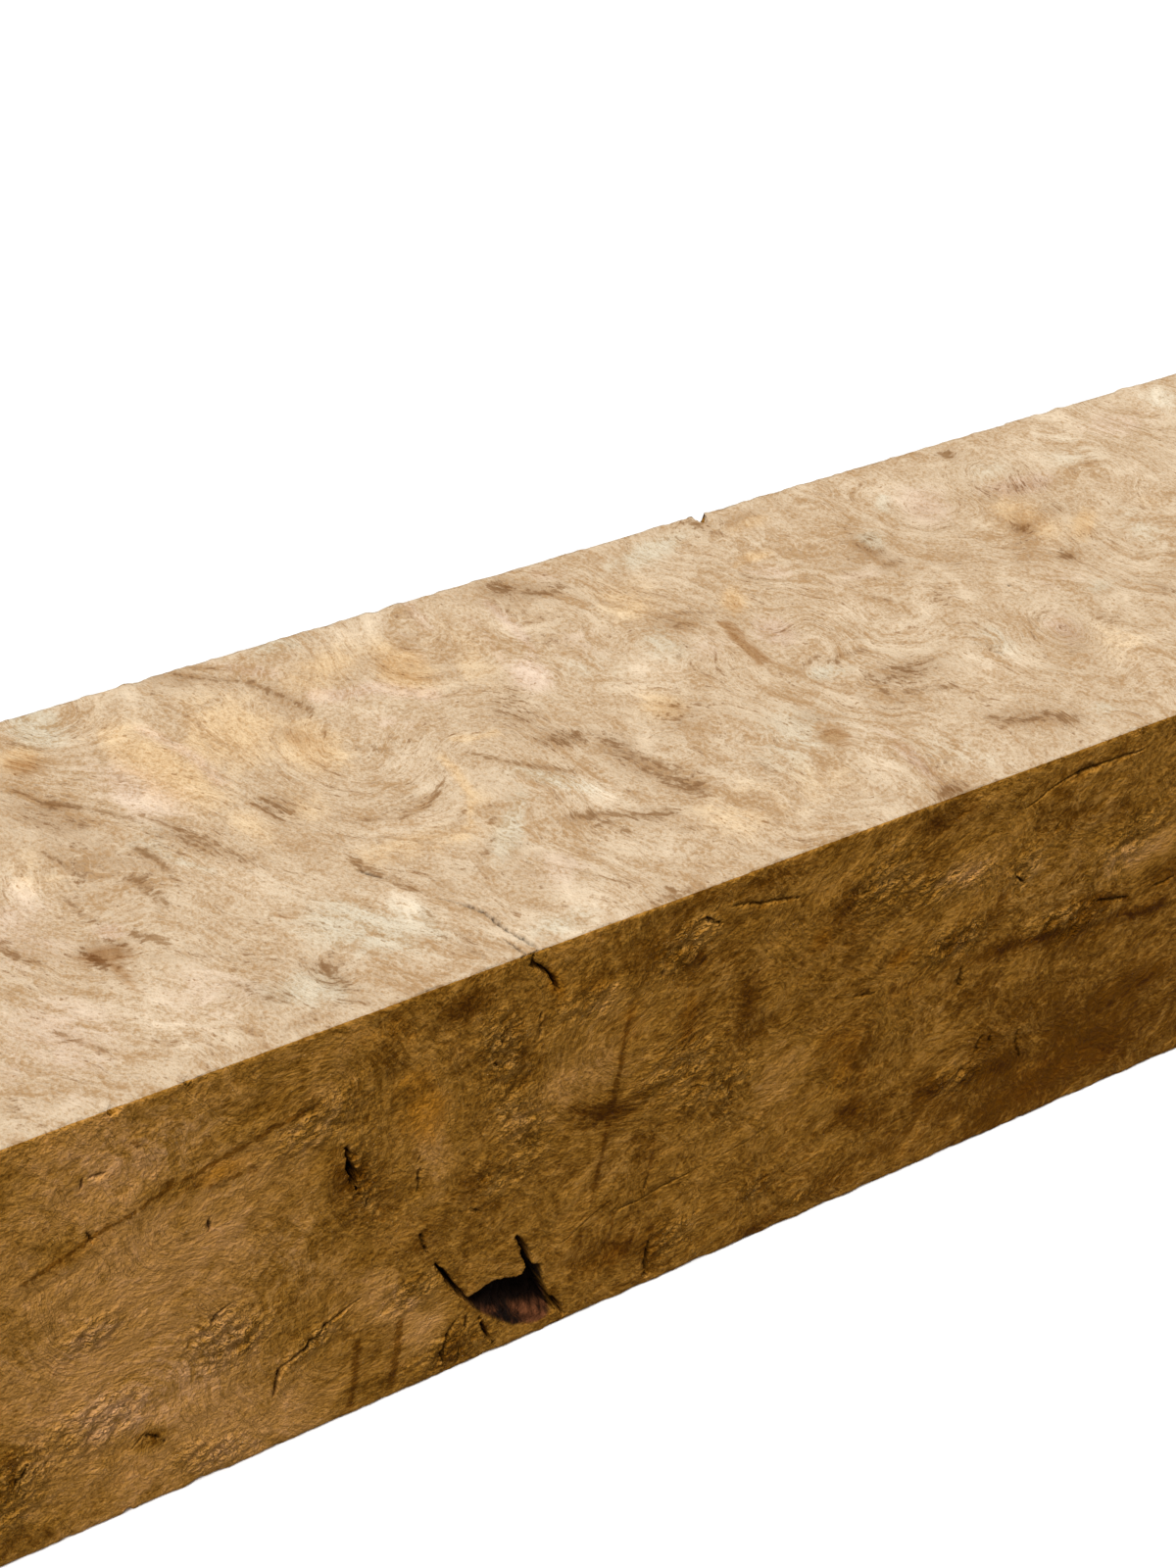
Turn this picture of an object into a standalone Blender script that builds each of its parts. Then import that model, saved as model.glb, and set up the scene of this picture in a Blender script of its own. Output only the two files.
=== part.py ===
"""A sawn blank of burl wood: one squared block that lies on its flat underside.

X runs along the block, Y from its front face to its back, and Z up. The origin is the middle of
the underside. The bark pocket, the open cracks and the chipped edges are cut into the block.
"""

import math

import bmesh
import bpy
from mathutils import Vector, noise

MM = 0.001

# Driving sizes of the block
LENGTH = 200 * MM
WIDTH = 40 * MM
HEIGHT = 50 * MM
ARRIS = 0.2 * MM  # how far the sawn edges are eased

# The planes of the block's sawn faces
FRONT = -WIDTH / 2
BACK = WIDTH / 2
TOP = HEIGHT

# The bark pocket near the foot of the front face
POCKET_CENTRE = Vector((-25.3 * MM, FRONT, 6.2 * MM))
POCKET_HALF = Vector((3.5 * MM, 4.6 * MM, 3.9 * MM))
POCKET_LEAN = -0.35  # how far its upper end leans along X, for each unit of height
POCKET_ROUGHNESS = 0.12
POCKET_GRAIN = 2.2

# Open cracks: name, width and depth, then the route over the face, all in millimetres.
# On the front face a route gives X and Z, and on the top face it gives X and Y.
FRONT_CRACKS = (
    ("pocket_left", 0.5, 3.5,
     ((-33.6, 16.3), (-32.1, 13.8), (-31.4, 12.1), (-29.7, 9.3), (-28.4, 7.6))),
    ("pocket_crest", 0.7, 3.5,
     ((-25.5, 15.2), (-24.4, 13.0), (-23.9, 11.6), (-23.4, 9.0))),
    ("pocket_right", 0.6, 3.0,
     ((-22.6, 8.0), (-21.4, 5.4), (-20.3, 3.6), (-19.4, 2.3), (-18.7, 0.8))),
    ("pocket_foot", 0.35, 2.0,
     ((-28.0, 6.0), (-27.2, 3.9), (-26.5, 2.1), (-25.8, 0.9))),
    ("left_foot", 0.3, 1.5,
     ((-30.5, 7.1), (-31.0, 5.4), (-31.3, 3.2), (-30.9, 1.1))),
    ("right_foot", 0.4, 1.5,
     ((-10.6, 6.6), (-10.6, 4.6), (-10.4, 2.9), (-10.1, 1.1))),
    ("long_split", 0.55, 2.5,
     ((-43.4, 35.5), (-43.1, 33.6), (-42.6, 32.1), (-42.3, 30.6), (-41.8, 29.2))),
    ("upper_check", 0.45, 2.0,
     ((-29.0, 51.0), (-28.7, 48.6), (-27.3, 47.4), (-26.5, 46.1), (-25.8, 44.6))),
    ("upper_shake", 0.3, 1.5,
     ((-9.6, 46.7), (-8.3, 46.4), (-6.7, 45.6), (-4.9, 45.4), (-2.3, 44.5))),
    ("curved_shake", 0.35, 1.5,
     ((20.9, 45.1), (22.1, 45.7), (23.6, 46.6), (25.6, 47.1), (29.8, 47.2), (33.2, 47.0))),
    ("lifted_fibre", 0.4, 1.2,
     ((-40.4, 15.7), (-43.4, 14.1), (-45.2, 12.0), (-47.4, 10.8), (-47.7, 7.2))),
    ("right_split", 0.5, 1.5,
     ((24.3, 15.9), (24.1, 14.7), (24.3, 13.4))),
    ("right_sliver", 0.35, 1.2,
     ((25.4, 15.3), (25.7, 14.2), (26.4, 12.8))),
    ("seam_split", 0.4, 1.2,
     ((18.8, 27.0), (19.1, 25.5), (19.5, 24.2))),
)
TOP_CRACKS = (
    ("top_check", 0.35, 1.5,
     ((-33.1, -10.9), (-30.8, -13.2), (-29.8, -14.8), (-29.4, -16.6), (-28.4, -19.0), (-27.9, -21.0))),
)
CRACK_END = 0.35  # a crack's width at its ends, as a share of its full width

# Chips out of the long edges: where along the edge in millimetres, the edge's two faces, and the
# chip's half sizes along X, Y and Z in millimetres
CHIPS = (
    ("back_notch", 13.8, BACK, TOP, (0.65, 1.4, 2.2)),
    ("top_chip_left", -63.2, FRONT, TOP, (0.6, 0.5, 0.9)),
    ("top_chip_right", -57.4, FRONT, TOP, (0.45, 0.4, 0.7)),
    ("foot_chip", -60.4, FRONT, 0, (0.5, 0.4, 0.6)),
)


def clear_scene():
    for thing in list(bpy.data.objects):
        bpy.data.objects.remove(thing, do_unlink=True)


def new_collection(name):
    made = bpy.data.collections.new(name)
    bpy.context.scene.collection.children.link(made)
    return made


def wood_material():
    material = bpy.data.materials.new("burl_wood")
    material.use_nodes = True
    shader = material.node_tree.nodes["Principled BSDF"]
    shader.inputs["Base Color"].default_value = (0.52, 0.36, 0.21, 1)
    shader.inputs["Roughness"].default_value = 0.75
    shader.inputs["Metallic"].default_value = 0.0
    return material


def mesh_object(name, shape, collection):
    """An object that holds a bmesh, which is freed here."""
    mesh = bpy.data.meshes.new(name)
    shape.to_mesh(mesh)
    shape.free()
    made = bpy.data.objects.new(name, mesh)
    collection.objects.link(made)
    return made


def make_cutter(made):
    made.hide_render = True
    made.display_type = "WIRE"
    return made


def squared_block(collection):
    """The block as it leaves the saw, with its edges slightly eased."""
    shape = bmesh.new()
    bmesh.ops.create_cube(shape, size=1)
    bmesh.ops.scale(shape, vec=(LENGTH, WIDTH, HEIGHT), verts=shape.verts)
    bmesh.ops.translate(shape, vec=(0, 0, HEIGHT / 2), verts=shape.verts)
    block = mesh_object("burl_blank", shape, collection)
    block.data.materials.append(wood_material())
    eased = block.modifiers.new("eased_edges", "BEVEL")
    eased.width = ARRIS
    eased.segments = 1
    return block


def pocket_cutter(collection):
    """The space that a pocket of bark left: a rough, leaning hollow that narrows inwards."""
    shape = bmesh.new()
    bmesh.ops.create_icosphere(shape, subdivisions=3, radius=1)
    for vertex in shape.verts:
        push = 1 + POCKET_ROUGHNESS * noise.noise(vertex.co * POCKET_GRAIN)
        place = vertex.co * push * POCKET_HALF
        place.x += POCKET_LEAN * place.z
        vertex.co = place + POCKET_CENTRE
    return make_cutter(mesh_object("bark_pocket", shape, collection))


def chip_cutter(name, centre, half, collection):
    """A rounded chip, centred on an edge."""
    shape = bmesh.new()
    bmesh.ops.create_icosphere(shape, subdivisions=2, radius=1)
    bmesh.ops.scale(shape, vec=Vector(half) * MM, verts=shape.verts)
    bmesh.ops.translate(shape, vec=centre, verts=shape.verts)
    return make_cutter(mesh_object(name, shape, collection))


def crack_curve(name, width, route, collection):
    """A tube along the route, thickest in its middle."""
    data = bpy.data.curves.new(name, "CURVE")
    data.dimensions = "3D"
    data.bevel_depth = width / 2
    data.bevel_resolution = 2
    data.use_fill_caps = True
    spline = data.splines.new("POLY")
    spline.points.add(len(route) - 1)
    for index, place in enumerate(route):
        share = index / (len(route) - 1)
        spline.points[index].co = (*place, 1)
        spline.points[index].radius = CRACK_END + (1 - CRACK_END) * math.sin(math.pi * share)
    tube = bpy.data.objects.new(name, data)
    collection.objects.link(tube)
    return tube


def crack_cutter(name, width, depth, route, normal_axis, face, collection):
    """A crack's cutter: a tube on the face, stretched along the face's normal to the crack's depth."""
    tube = crack_curve(name + "_route", width, route, collection)
    graph = bpy.context.evaluated_depsgraph_get()
    mesh = bpy.data.meshes.new_from_object(tube.evaluated_get(graph))
    bpy.data.objects.remove(tube, do_unlink=True)
    shape = bmesh.new()
    shape.from_mesh(mesh)
    bmesh.ops.remove_doubles(shape, verts=shape.verts, dist=1e-7)
    stretch = depth / (width / 2)
    for vertex in shape.verts:
        vertex.co[normal_axis] = face + (vertex.co[normal_axis] - face) * stretch
    bmesh.ops.recalc_face_normals(shape, faces=shape.faces)
    return make_cutter(mesh_object(name, shape, collection))


def crack_cutters(collection):
    for name, width, depth, route in FRONT_CRACKS:
        places = [(x * MM, FRONT, z * MM) for x, z in route]
        yield crack_cutter(name, width * MM, depth * MM, places, 1, FRONT, collection)
    for name, width, depth, route in TOP_CRACKS:
        places = [(x * MM, y * MM, TOP) for x, y in route]
        yield crack_cutter(name, width * MM, depth * MM, places, 2, TOP, collection)


def cut(block, cutter):
    modifier = block.modifiers.new("cut_" + cutter.name, "BOOLEAN")
    modifier.operation = "DIFFERENCE"
    modifier.solver = "EXACT"
    modifier.object = cutter


def main():
    clear_scene()
    wood = new_collection("burl_blank")
    cutters = new_collection("cutters")
    block = squared_block(wood)
    cut(block, pocket_cutter(cutters))
    for cutter in crack_cutters(cutters):
        cut(block, cutter)
    for name, along, y, z, half in CHIPS:
        cut(block, chip_cutter(name, (along * MM, y, z), half, cutters))


main()
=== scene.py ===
"""A sawn blank of burl wood, finished from its plain block: worn edges, open cracks, a bark pocket
and the burl's figure, with a pale floor and soft light.

Sizes in the tables are millimetres. A place on the top face is X and Y, and on the front X and Z.
"""

import math

import bmesh
import bpy
import numpy as np
from mathutils import Matrix, Vector, noise


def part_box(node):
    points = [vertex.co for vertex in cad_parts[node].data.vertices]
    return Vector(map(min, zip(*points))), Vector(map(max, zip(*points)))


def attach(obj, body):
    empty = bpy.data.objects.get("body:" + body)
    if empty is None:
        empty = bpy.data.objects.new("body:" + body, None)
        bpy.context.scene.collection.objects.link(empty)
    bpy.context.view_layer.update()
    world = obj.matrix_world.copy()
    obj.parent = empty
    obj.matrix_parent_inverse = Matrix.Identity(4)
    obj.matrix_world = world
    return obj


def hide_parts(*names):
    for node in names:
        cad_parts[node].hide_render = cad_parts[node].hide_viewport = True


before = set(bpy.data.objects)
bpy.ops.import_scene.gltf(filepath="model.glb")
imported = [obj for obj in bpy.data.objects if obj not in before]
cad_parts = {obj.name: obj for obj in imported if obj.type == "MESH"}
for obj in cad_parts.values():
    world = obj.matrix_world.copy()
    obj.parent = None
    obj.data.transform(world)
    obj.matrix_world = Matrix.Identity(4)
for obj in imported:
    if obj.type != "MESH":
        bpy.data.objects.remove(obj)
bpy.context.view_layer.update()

bl_info = {
    "name": "Burl blank",
    "version": (1, 0, 0),
    "blender": (4, 5, 0),
    "location": "View3D > Sidebar > Burl",
    "description": "Builds a sawn block of figured burl wood and a small studio for it",
    "category": "Add Mesh",
}

MM = 0.001

# The block's box and the planes of its faces, in millimetres
LOW, HIGH = (np.array(corner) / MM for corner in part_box("burl_blank"))
MIDDLE = (LOW + HIGH) / 2
LEFT, FRONT, FOOT = LOW
RIGHT, BACK, TOP = HIGH
ON_FACE = 0.001  # how far from a face's plane a point may lie and still be on the face

# The cells of the mesh, and how far the finer ones reach round what they are for
BASE_CELL = 1.25
FACE_CELL = 0.64
EDGE_CELL = 0.33
CRACK_CELL = 0.16
EDGE_BAND = 0.45
CRACK_BAND = 0.3
STROKE_BAND = 0.15
HALVINGS = 3
CELL_SLACK = 1.3  # a cell is halved once it is this many times larger than wanted

WEAR_BAND = 1.1  # the farthest that edge wear is looked for
NOISE_FALL = 0.9  # how fast the noise's finer octaves weaken
NOISE_STEP = 2.1  # how much finer each octave is than the one before

# The studio: lengths in metres, and the camera's sensor in millimetres
FLOOR_HALF = 4
BACKDROP_RADIUS = 3.5
BACKDROP_WHITE = (0.95, 0.95, 0.95)
KEY_FROM = (-0.38, -0.19, 0.905)
KEY_SPREAD = math.radians(24)
SENSOR_WIDTH = 36
NEAREST_VIEW = 0.01

# The tints that the mesh stores, in two groups of four. The crack shade is painted shade inside the cracks and
# under the pocket's lip
TONES = ("honey", "grey", "lilac", "dark")
HARM = ("rust", "crack", "torn", "bark")

# Open cracks: width and depth, then the route over the face
FRONT_CRACKS = (
    (0.5, 3.5, ((-33.6, 16.3), (-32.1, 13.8), (-31.4, 12.1), (-29.7, 9.3), (-28.4, 7.6))),
    (0.7, 3.5, ((-25.5, 15.2), (-24.4, 13.0), (-23.9, 11.6), (-23.4, 9.0))),
    (0.6, 3.0, ((-22.6, 8.0), (-21.4, 5.4), (-20.3, 3.6), (-19.4, 2.3), (-18.7, 0.8))),
    (0.35, 2.0, ((-28.0, 6.0), (-27.2, 3.9), (-26.5, 2.1), (-25.8, 0.9))),
    (0.3, 1.5, ((-30.5, 7.1), (-31.0, 5.4), (-31.3, 3.2), (-30.9, 1.1))),
    (0.4, 1.5, ((-10.6, 6.6), (-10.6, 4.6), (-10.4, 2.9), (-10.1, 1.1))),
    (0.62, 2.5, ((-43.5, 35.9), (-43.1, 33.6), (-42.6, 32.1), (-42.3, 30.6), (-41.8, 29.2))),
    (0.38, 2.0, ((-29.0, 51.0), (-28.7, 48.6), (-27.3, 47.4), (-26.5, 46.1), (-25.8, 44.6))),
    (0.3, 1.5, ((-9.6, 46.7), (-8.3, 46.4), (-6.7, 45.6), (-4.9, 45.4), (-2.3, 44.5))),
    (0.35, 1.5, ((20.9, 45.1), (22.1, 45.7), (23.6, 46.6), (25.6, 47.1), (29.8, 47.2), (33.2, 47.0))),
    (0.4, 1.2, ((-40.4, 15.7), (-43.4, 14.1), (-45.2, 12.0), (-47.4, 10.8), (-47.7, 7.2))),
    (0.5, 1.5, ((24.3, 15.9), (24.1, 14.7), (24.3, 13.4))),
    (0.35, 1.2, ((25.4, 15.3), (25.7, 14.2), (26.4, 12.8))),
    (0.4, 1.2, ((18.8, 27.0), (19.1, 25.5), (19.5, 24.2))),
)

# Finer checks and torn slits, also on the front
FRONT_SLITS = (
    (0.2, 0.6, ((-36.6, 31.0), (-36.4, 28.9), (-36.2, 26.4))),
    (0.16, 0.4, ((-41.0, 28.6), (-40.9, 27.0))),
    (0.22, 0.5, ((-55.1, 33.9), (-54.8, 32.1))),
    (0.3, 0.6, ((-65.4, 44.2), (-65.5, 42.6))),
    (0.3, 0.6, ((-65.0, 43.5), (-63.8, 43.3))),
    (0.2, 0.5, ((-65.0, 37.6), (-64.5, 36.3))),
    (0.3, 0.6, ((-69.3, 12.8), (-69.6, 11.4), (-70.5, 10.1))),
    (0.25, 0.6, ((-50.1, 15.9), (-50.8, 15.2))),
    (0.3, 0.5, ((-60.3, 8.6), (-59.4, 9.7), (-58.4, 8.9), (-57.4, 7.6))),
    (0.25, 0.5, ((-54.0, 20.4), (-53.6, 21.4), (-52.5, 22.1))),
    (0.2, 0.5, ((-30.5, 41.9), (-30.3, 40.6))),
    (0.2, 0.5, ((-30.7, 38.6), (-29.9, 37.4))),
    (0.18, 0.4, ((-27.1, 42.8), (-26.9, 41.2), (-26.6, 39.2))),
    (0.25, 0.5, ((-15.7, 42.4), (-15.5, 41.3))),
    (0.22, 0.8, ((-13.4, 46.3), (-12.3, 46.4), (-11.4, 45.7), (-10.5, 45.1))),
    (0.2, 0.5, ((-30.8, 21.6), (-29.4, 20.3))),
    (0.25, 0.6, ((-35.4, 21.0), (-34.9, 19.2), (-34.3, 17.8))),
    (0.3, 0.8, ((-20.1, 11.7), (-18.9, 12.7), (-17.6, 13.8), (-16.2, 14.6))),
    (0.2, 0.5, ((-16.0, 13.2), (-13.9, 12.9), (-11.0, 13.3), (-7.1, 13.9))),
    (0.16, 0.4, ((-4.9, 14.3), (-2.4, 14.8), (-0.3, 15.5))),
    (0.2, 0.6, ((-12.5, 15.8), (-12.5, 14.5))),
    (0.3, 1.2, ((-29.4, 7.3), (-29.2, 5.2))),
    (0.2, 0.8, ((-29.6, 2.4), (-29.3, 0.6))),
    (0.2, 0.5, ((6.4, 29.0), (7.9, 28.6), (8.9, 28.4))),
    (0.25, 0.5, ((25.6, 41.5), (25.4, 40.6))),
    (0.22, 0.6, ((21.7, 37.1), (22.7, 36.1), (23.7, 35.1))),
    (0.3, 0.8, ((33.6, 28.9), (35.7, 28.2), (38.0, 27.5))),
    (0.3, 0.8, ((41.0, 27.6), (42.2, 27.5), (43.5, 27.9))),
    (0.25, 0.6, ((29.0, 14.4), (29.4, 12.2), (30.4, 10.2))),
    (0.2, 0.5, ((-6.2, 7.9), (-6.0, 7.1))),
)
TOP_CRACKS = (
    (0.35, 1.5, ((-33.1, -10.9), (-30.8, -13.2), (-29.8, -14.8), (-29.4, -16.6), (-28.4, -19.0),
                 (-27.9, -21.0))),
    (0.2, 0.5, ((-30.0, -17.8), (-29.3, -19.9))),
    (0.28, 0.5, ((-36.2, -6.5), (-35.7, -7.2), (-35.0, -8.1))),
    (0.14, 0.3, ((32.5, -5.4), (32.4, -6.0))),
    (0.14, 0.3, ((26.4, -6.6), (27.5, -6.8))),
    (0.12, 0.3, ((34.3, 0.6), (33.2, -0.7))),
)
CRACK_END = 0.35  # a crack's width at its ends, as a share of its full width

# Torn fibres that stand proud of the front: width and height, then the route
RAISED = (
    (0.5, 0.22, ((-41.5, 45.2), (-42.0, 43.6), (-44.5, 41.6), (-45.8, 40.4), (-47.4, 38.9), (-49.1, 37.8))),
    (0.45, 0.18, ((-63.8, 42.5), (-62.4, 43.6), (-61.3, 44.5), (-60.9, 46.1))),
    (0.5, 0.22, ((-66.4, 24.3), (-64.8, 24.0), (-63.4, 24.5), (-62.2, 25.8), (-63.0, 27.0), (-65.2, 26.2))),
    (0.45, 0.2, ((-39.6, 20.2), (-40.4, 19.3), (-41.2, 18.9))),
    (0.5, 0.25, ((-40.9, 15.2), (-43.8, 13.4), (-45.8, 11.4), (-47.0, 9.8), (-47.1, 7.2))),
    (0.4, 0.2, ((-19.8, 12.5), (-18.2, 13.8), (-16.3, 15.0))),
    (0.4, 0.18, ((-26.8, 47.4), (-25.9, 46.0), (-25.2, 44.4), (-24.9, 43.0))),
    (0.45, 0.2, ((-9.4, 46.1), (-7.0, 45.1), (-4.5, 44.7), (-2.0, 43.9))),
    (0.5, 0.22, ((21.3, 44.4), (24.0, 45.8), (26.2, 46.3), (30.0, 46.5), (33.0, 46.4))),
    (0.45, 0.2, ((24.0, 36.4), (22.8, 38.4), (24.6, 39.6))),
    (0.45, 0.2, ((26.8, 39.8), (28.8, 40.6), (31.5, 42.0), (33.6, 43.9))),
    (0.5, 0.22, ((30.6, 27.6), (32.2, 26.2), (33.6, 26.9), (35.0, 25.8))),
    (0.4, 0.2, ((25.9, 16.2), (26.6, 14.6), (27.2, 13.4))),
    (0.4, 0.2, ((-9.8, 6.6), (-9.7, 5.2), (-9.3, 3.6))),
    (0.35, 0.18, ((-21.8, 8.6), (-20.6, 5.6), (-19.4, 3.4))),
    (0.35, 0.15, ((13.6, 3.2), (14.2, 4.8), (14.9, 6.0))),
)

# The bark pocket near the foot of the front face
POCKET_OUTLINE = (
    (-29.9, 9.3), (-28.2, 9.8), (-27.0, 10.1), (-25.3, 9.6), (-24.2, 9.3), (-23.5, 10.4), (-22.4, 9.7),
    (-21.9, 7.5), (-21.0, 4.8), (-19.9, 1.9), (-21.6, 1.5), (-24.2, 2.6), (-26.2, 4.6), (-28.2, 7.0),
)
POCKET_DEPTH = 4.6
POCKET_FLOOR = ((-29.2, 7.8), (-20.6, 1.4))  # where its sloping floor meets the front
POCKET_SLOPE = 1.5
POCKET_RISE = 0.3  # how far it climbs as it goes in
POCKET_WALL = 0.45
POCKET_DARK = 4.5  # the height above which its floor lies in the dark under the lip

# Chips out of the long edges: along the edge, the edge's two faces, and half sizes
CHIPS = (
    (13.8, BACK, TOP, (0.65, 1.4, 2.2)),
    (-63.2, FRONT, TOP, (0.6, 0.5, 0.9)),
    (-57.4, FRONT, TOP, (0.45, 0.4, 0.7)),
    (-60.4, FRONT, FOOT, (0.5, 0.4, 0.6)),
)

# Flow of the grain: its main direction, then swirls as centre, reach and strength
GRAIN = (0.77, 0.64, 0.535)
SWIRLS = (
    ((-31.0, 4.5, 50), 5.6, 13.0), ((-20.0, -0.5, 50), 3.8, -6.0), ((-50.5, 19.0, 50), 3.2, 8.0),
    ((-58.0, 0.0, 50), 4.0, 4.5), ((-43.8, -15.2, 50), 1.8, 3.6), ((-48.4, -15.0, 50), 1.8, -3.0),
    ((-61.0, -9.0, 50), 6.0, 3.0), ((-28.0, 19.5, 50), 3.0, -4.5), ((1.5, 5.0, 50), 3.4, -6.0),
    ((-20.0, 14.0, 50), 4.0, 5.0), ((10.4, 3.4, 50), 1.9, 3.4), ((33.5, 12.5, 50), 3.0, 6.5),
    ((26.2, 10.6, 50), 1.5, -3.0), ((41.0, 18.0, 50), 1.3, 2.6), ((43.0, 14.8, 50), 2.5, -5.0),
    ((34.4, -6.8, 50), 1.8, 4.0), ((15.0, 11.0, 50), 2.2, 4.0), ((11.5, -3.0, 50), 2.0, 3.0),
    ((48.0, 0.0, 50), 3.0, 5.0), ((55.0, 12.0, 50), 3.0, -5.0), ((25.0, -15.5, 50), 2.5, -4.5),
    ((19.5, 0.5, 50), 3.0, 3.5),
    ((-18.2, -20, 34.0), 5.0, 8.0), ((-65.5, -20, 26.0), 3.0, 5.0), ((-46.5, -20, 42.5), 3.5, -5.5),
    ((-57.0, -20, 33.0), 3.0, 5.0), ((28.0, -20, 41.5), 3.4, 6.5), ((-13.0, -20, 43.0), 2.4, 5.0),
    ((31.0, -20, 28.0), 3.0, -4.5), ((-43.5, -20, 9.0), 5.0, 6.0), ((9.0, -20, 21.0), 4.0, -5.0),
    ((4.5, -20, 9.0), 4.0, 5.0), ((24.5, -20, 12.0), 3.0, -4.5), ((39.0, -20, 9.0), 3.2, 4.5),
    ((-60.0, -20, 14.0), 4.0, -5.0), ((2.0, -20, 42.0), 3.0, 4.0), ((16.0, -20, 38.0), 3.0, -4.0),
)

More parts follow.
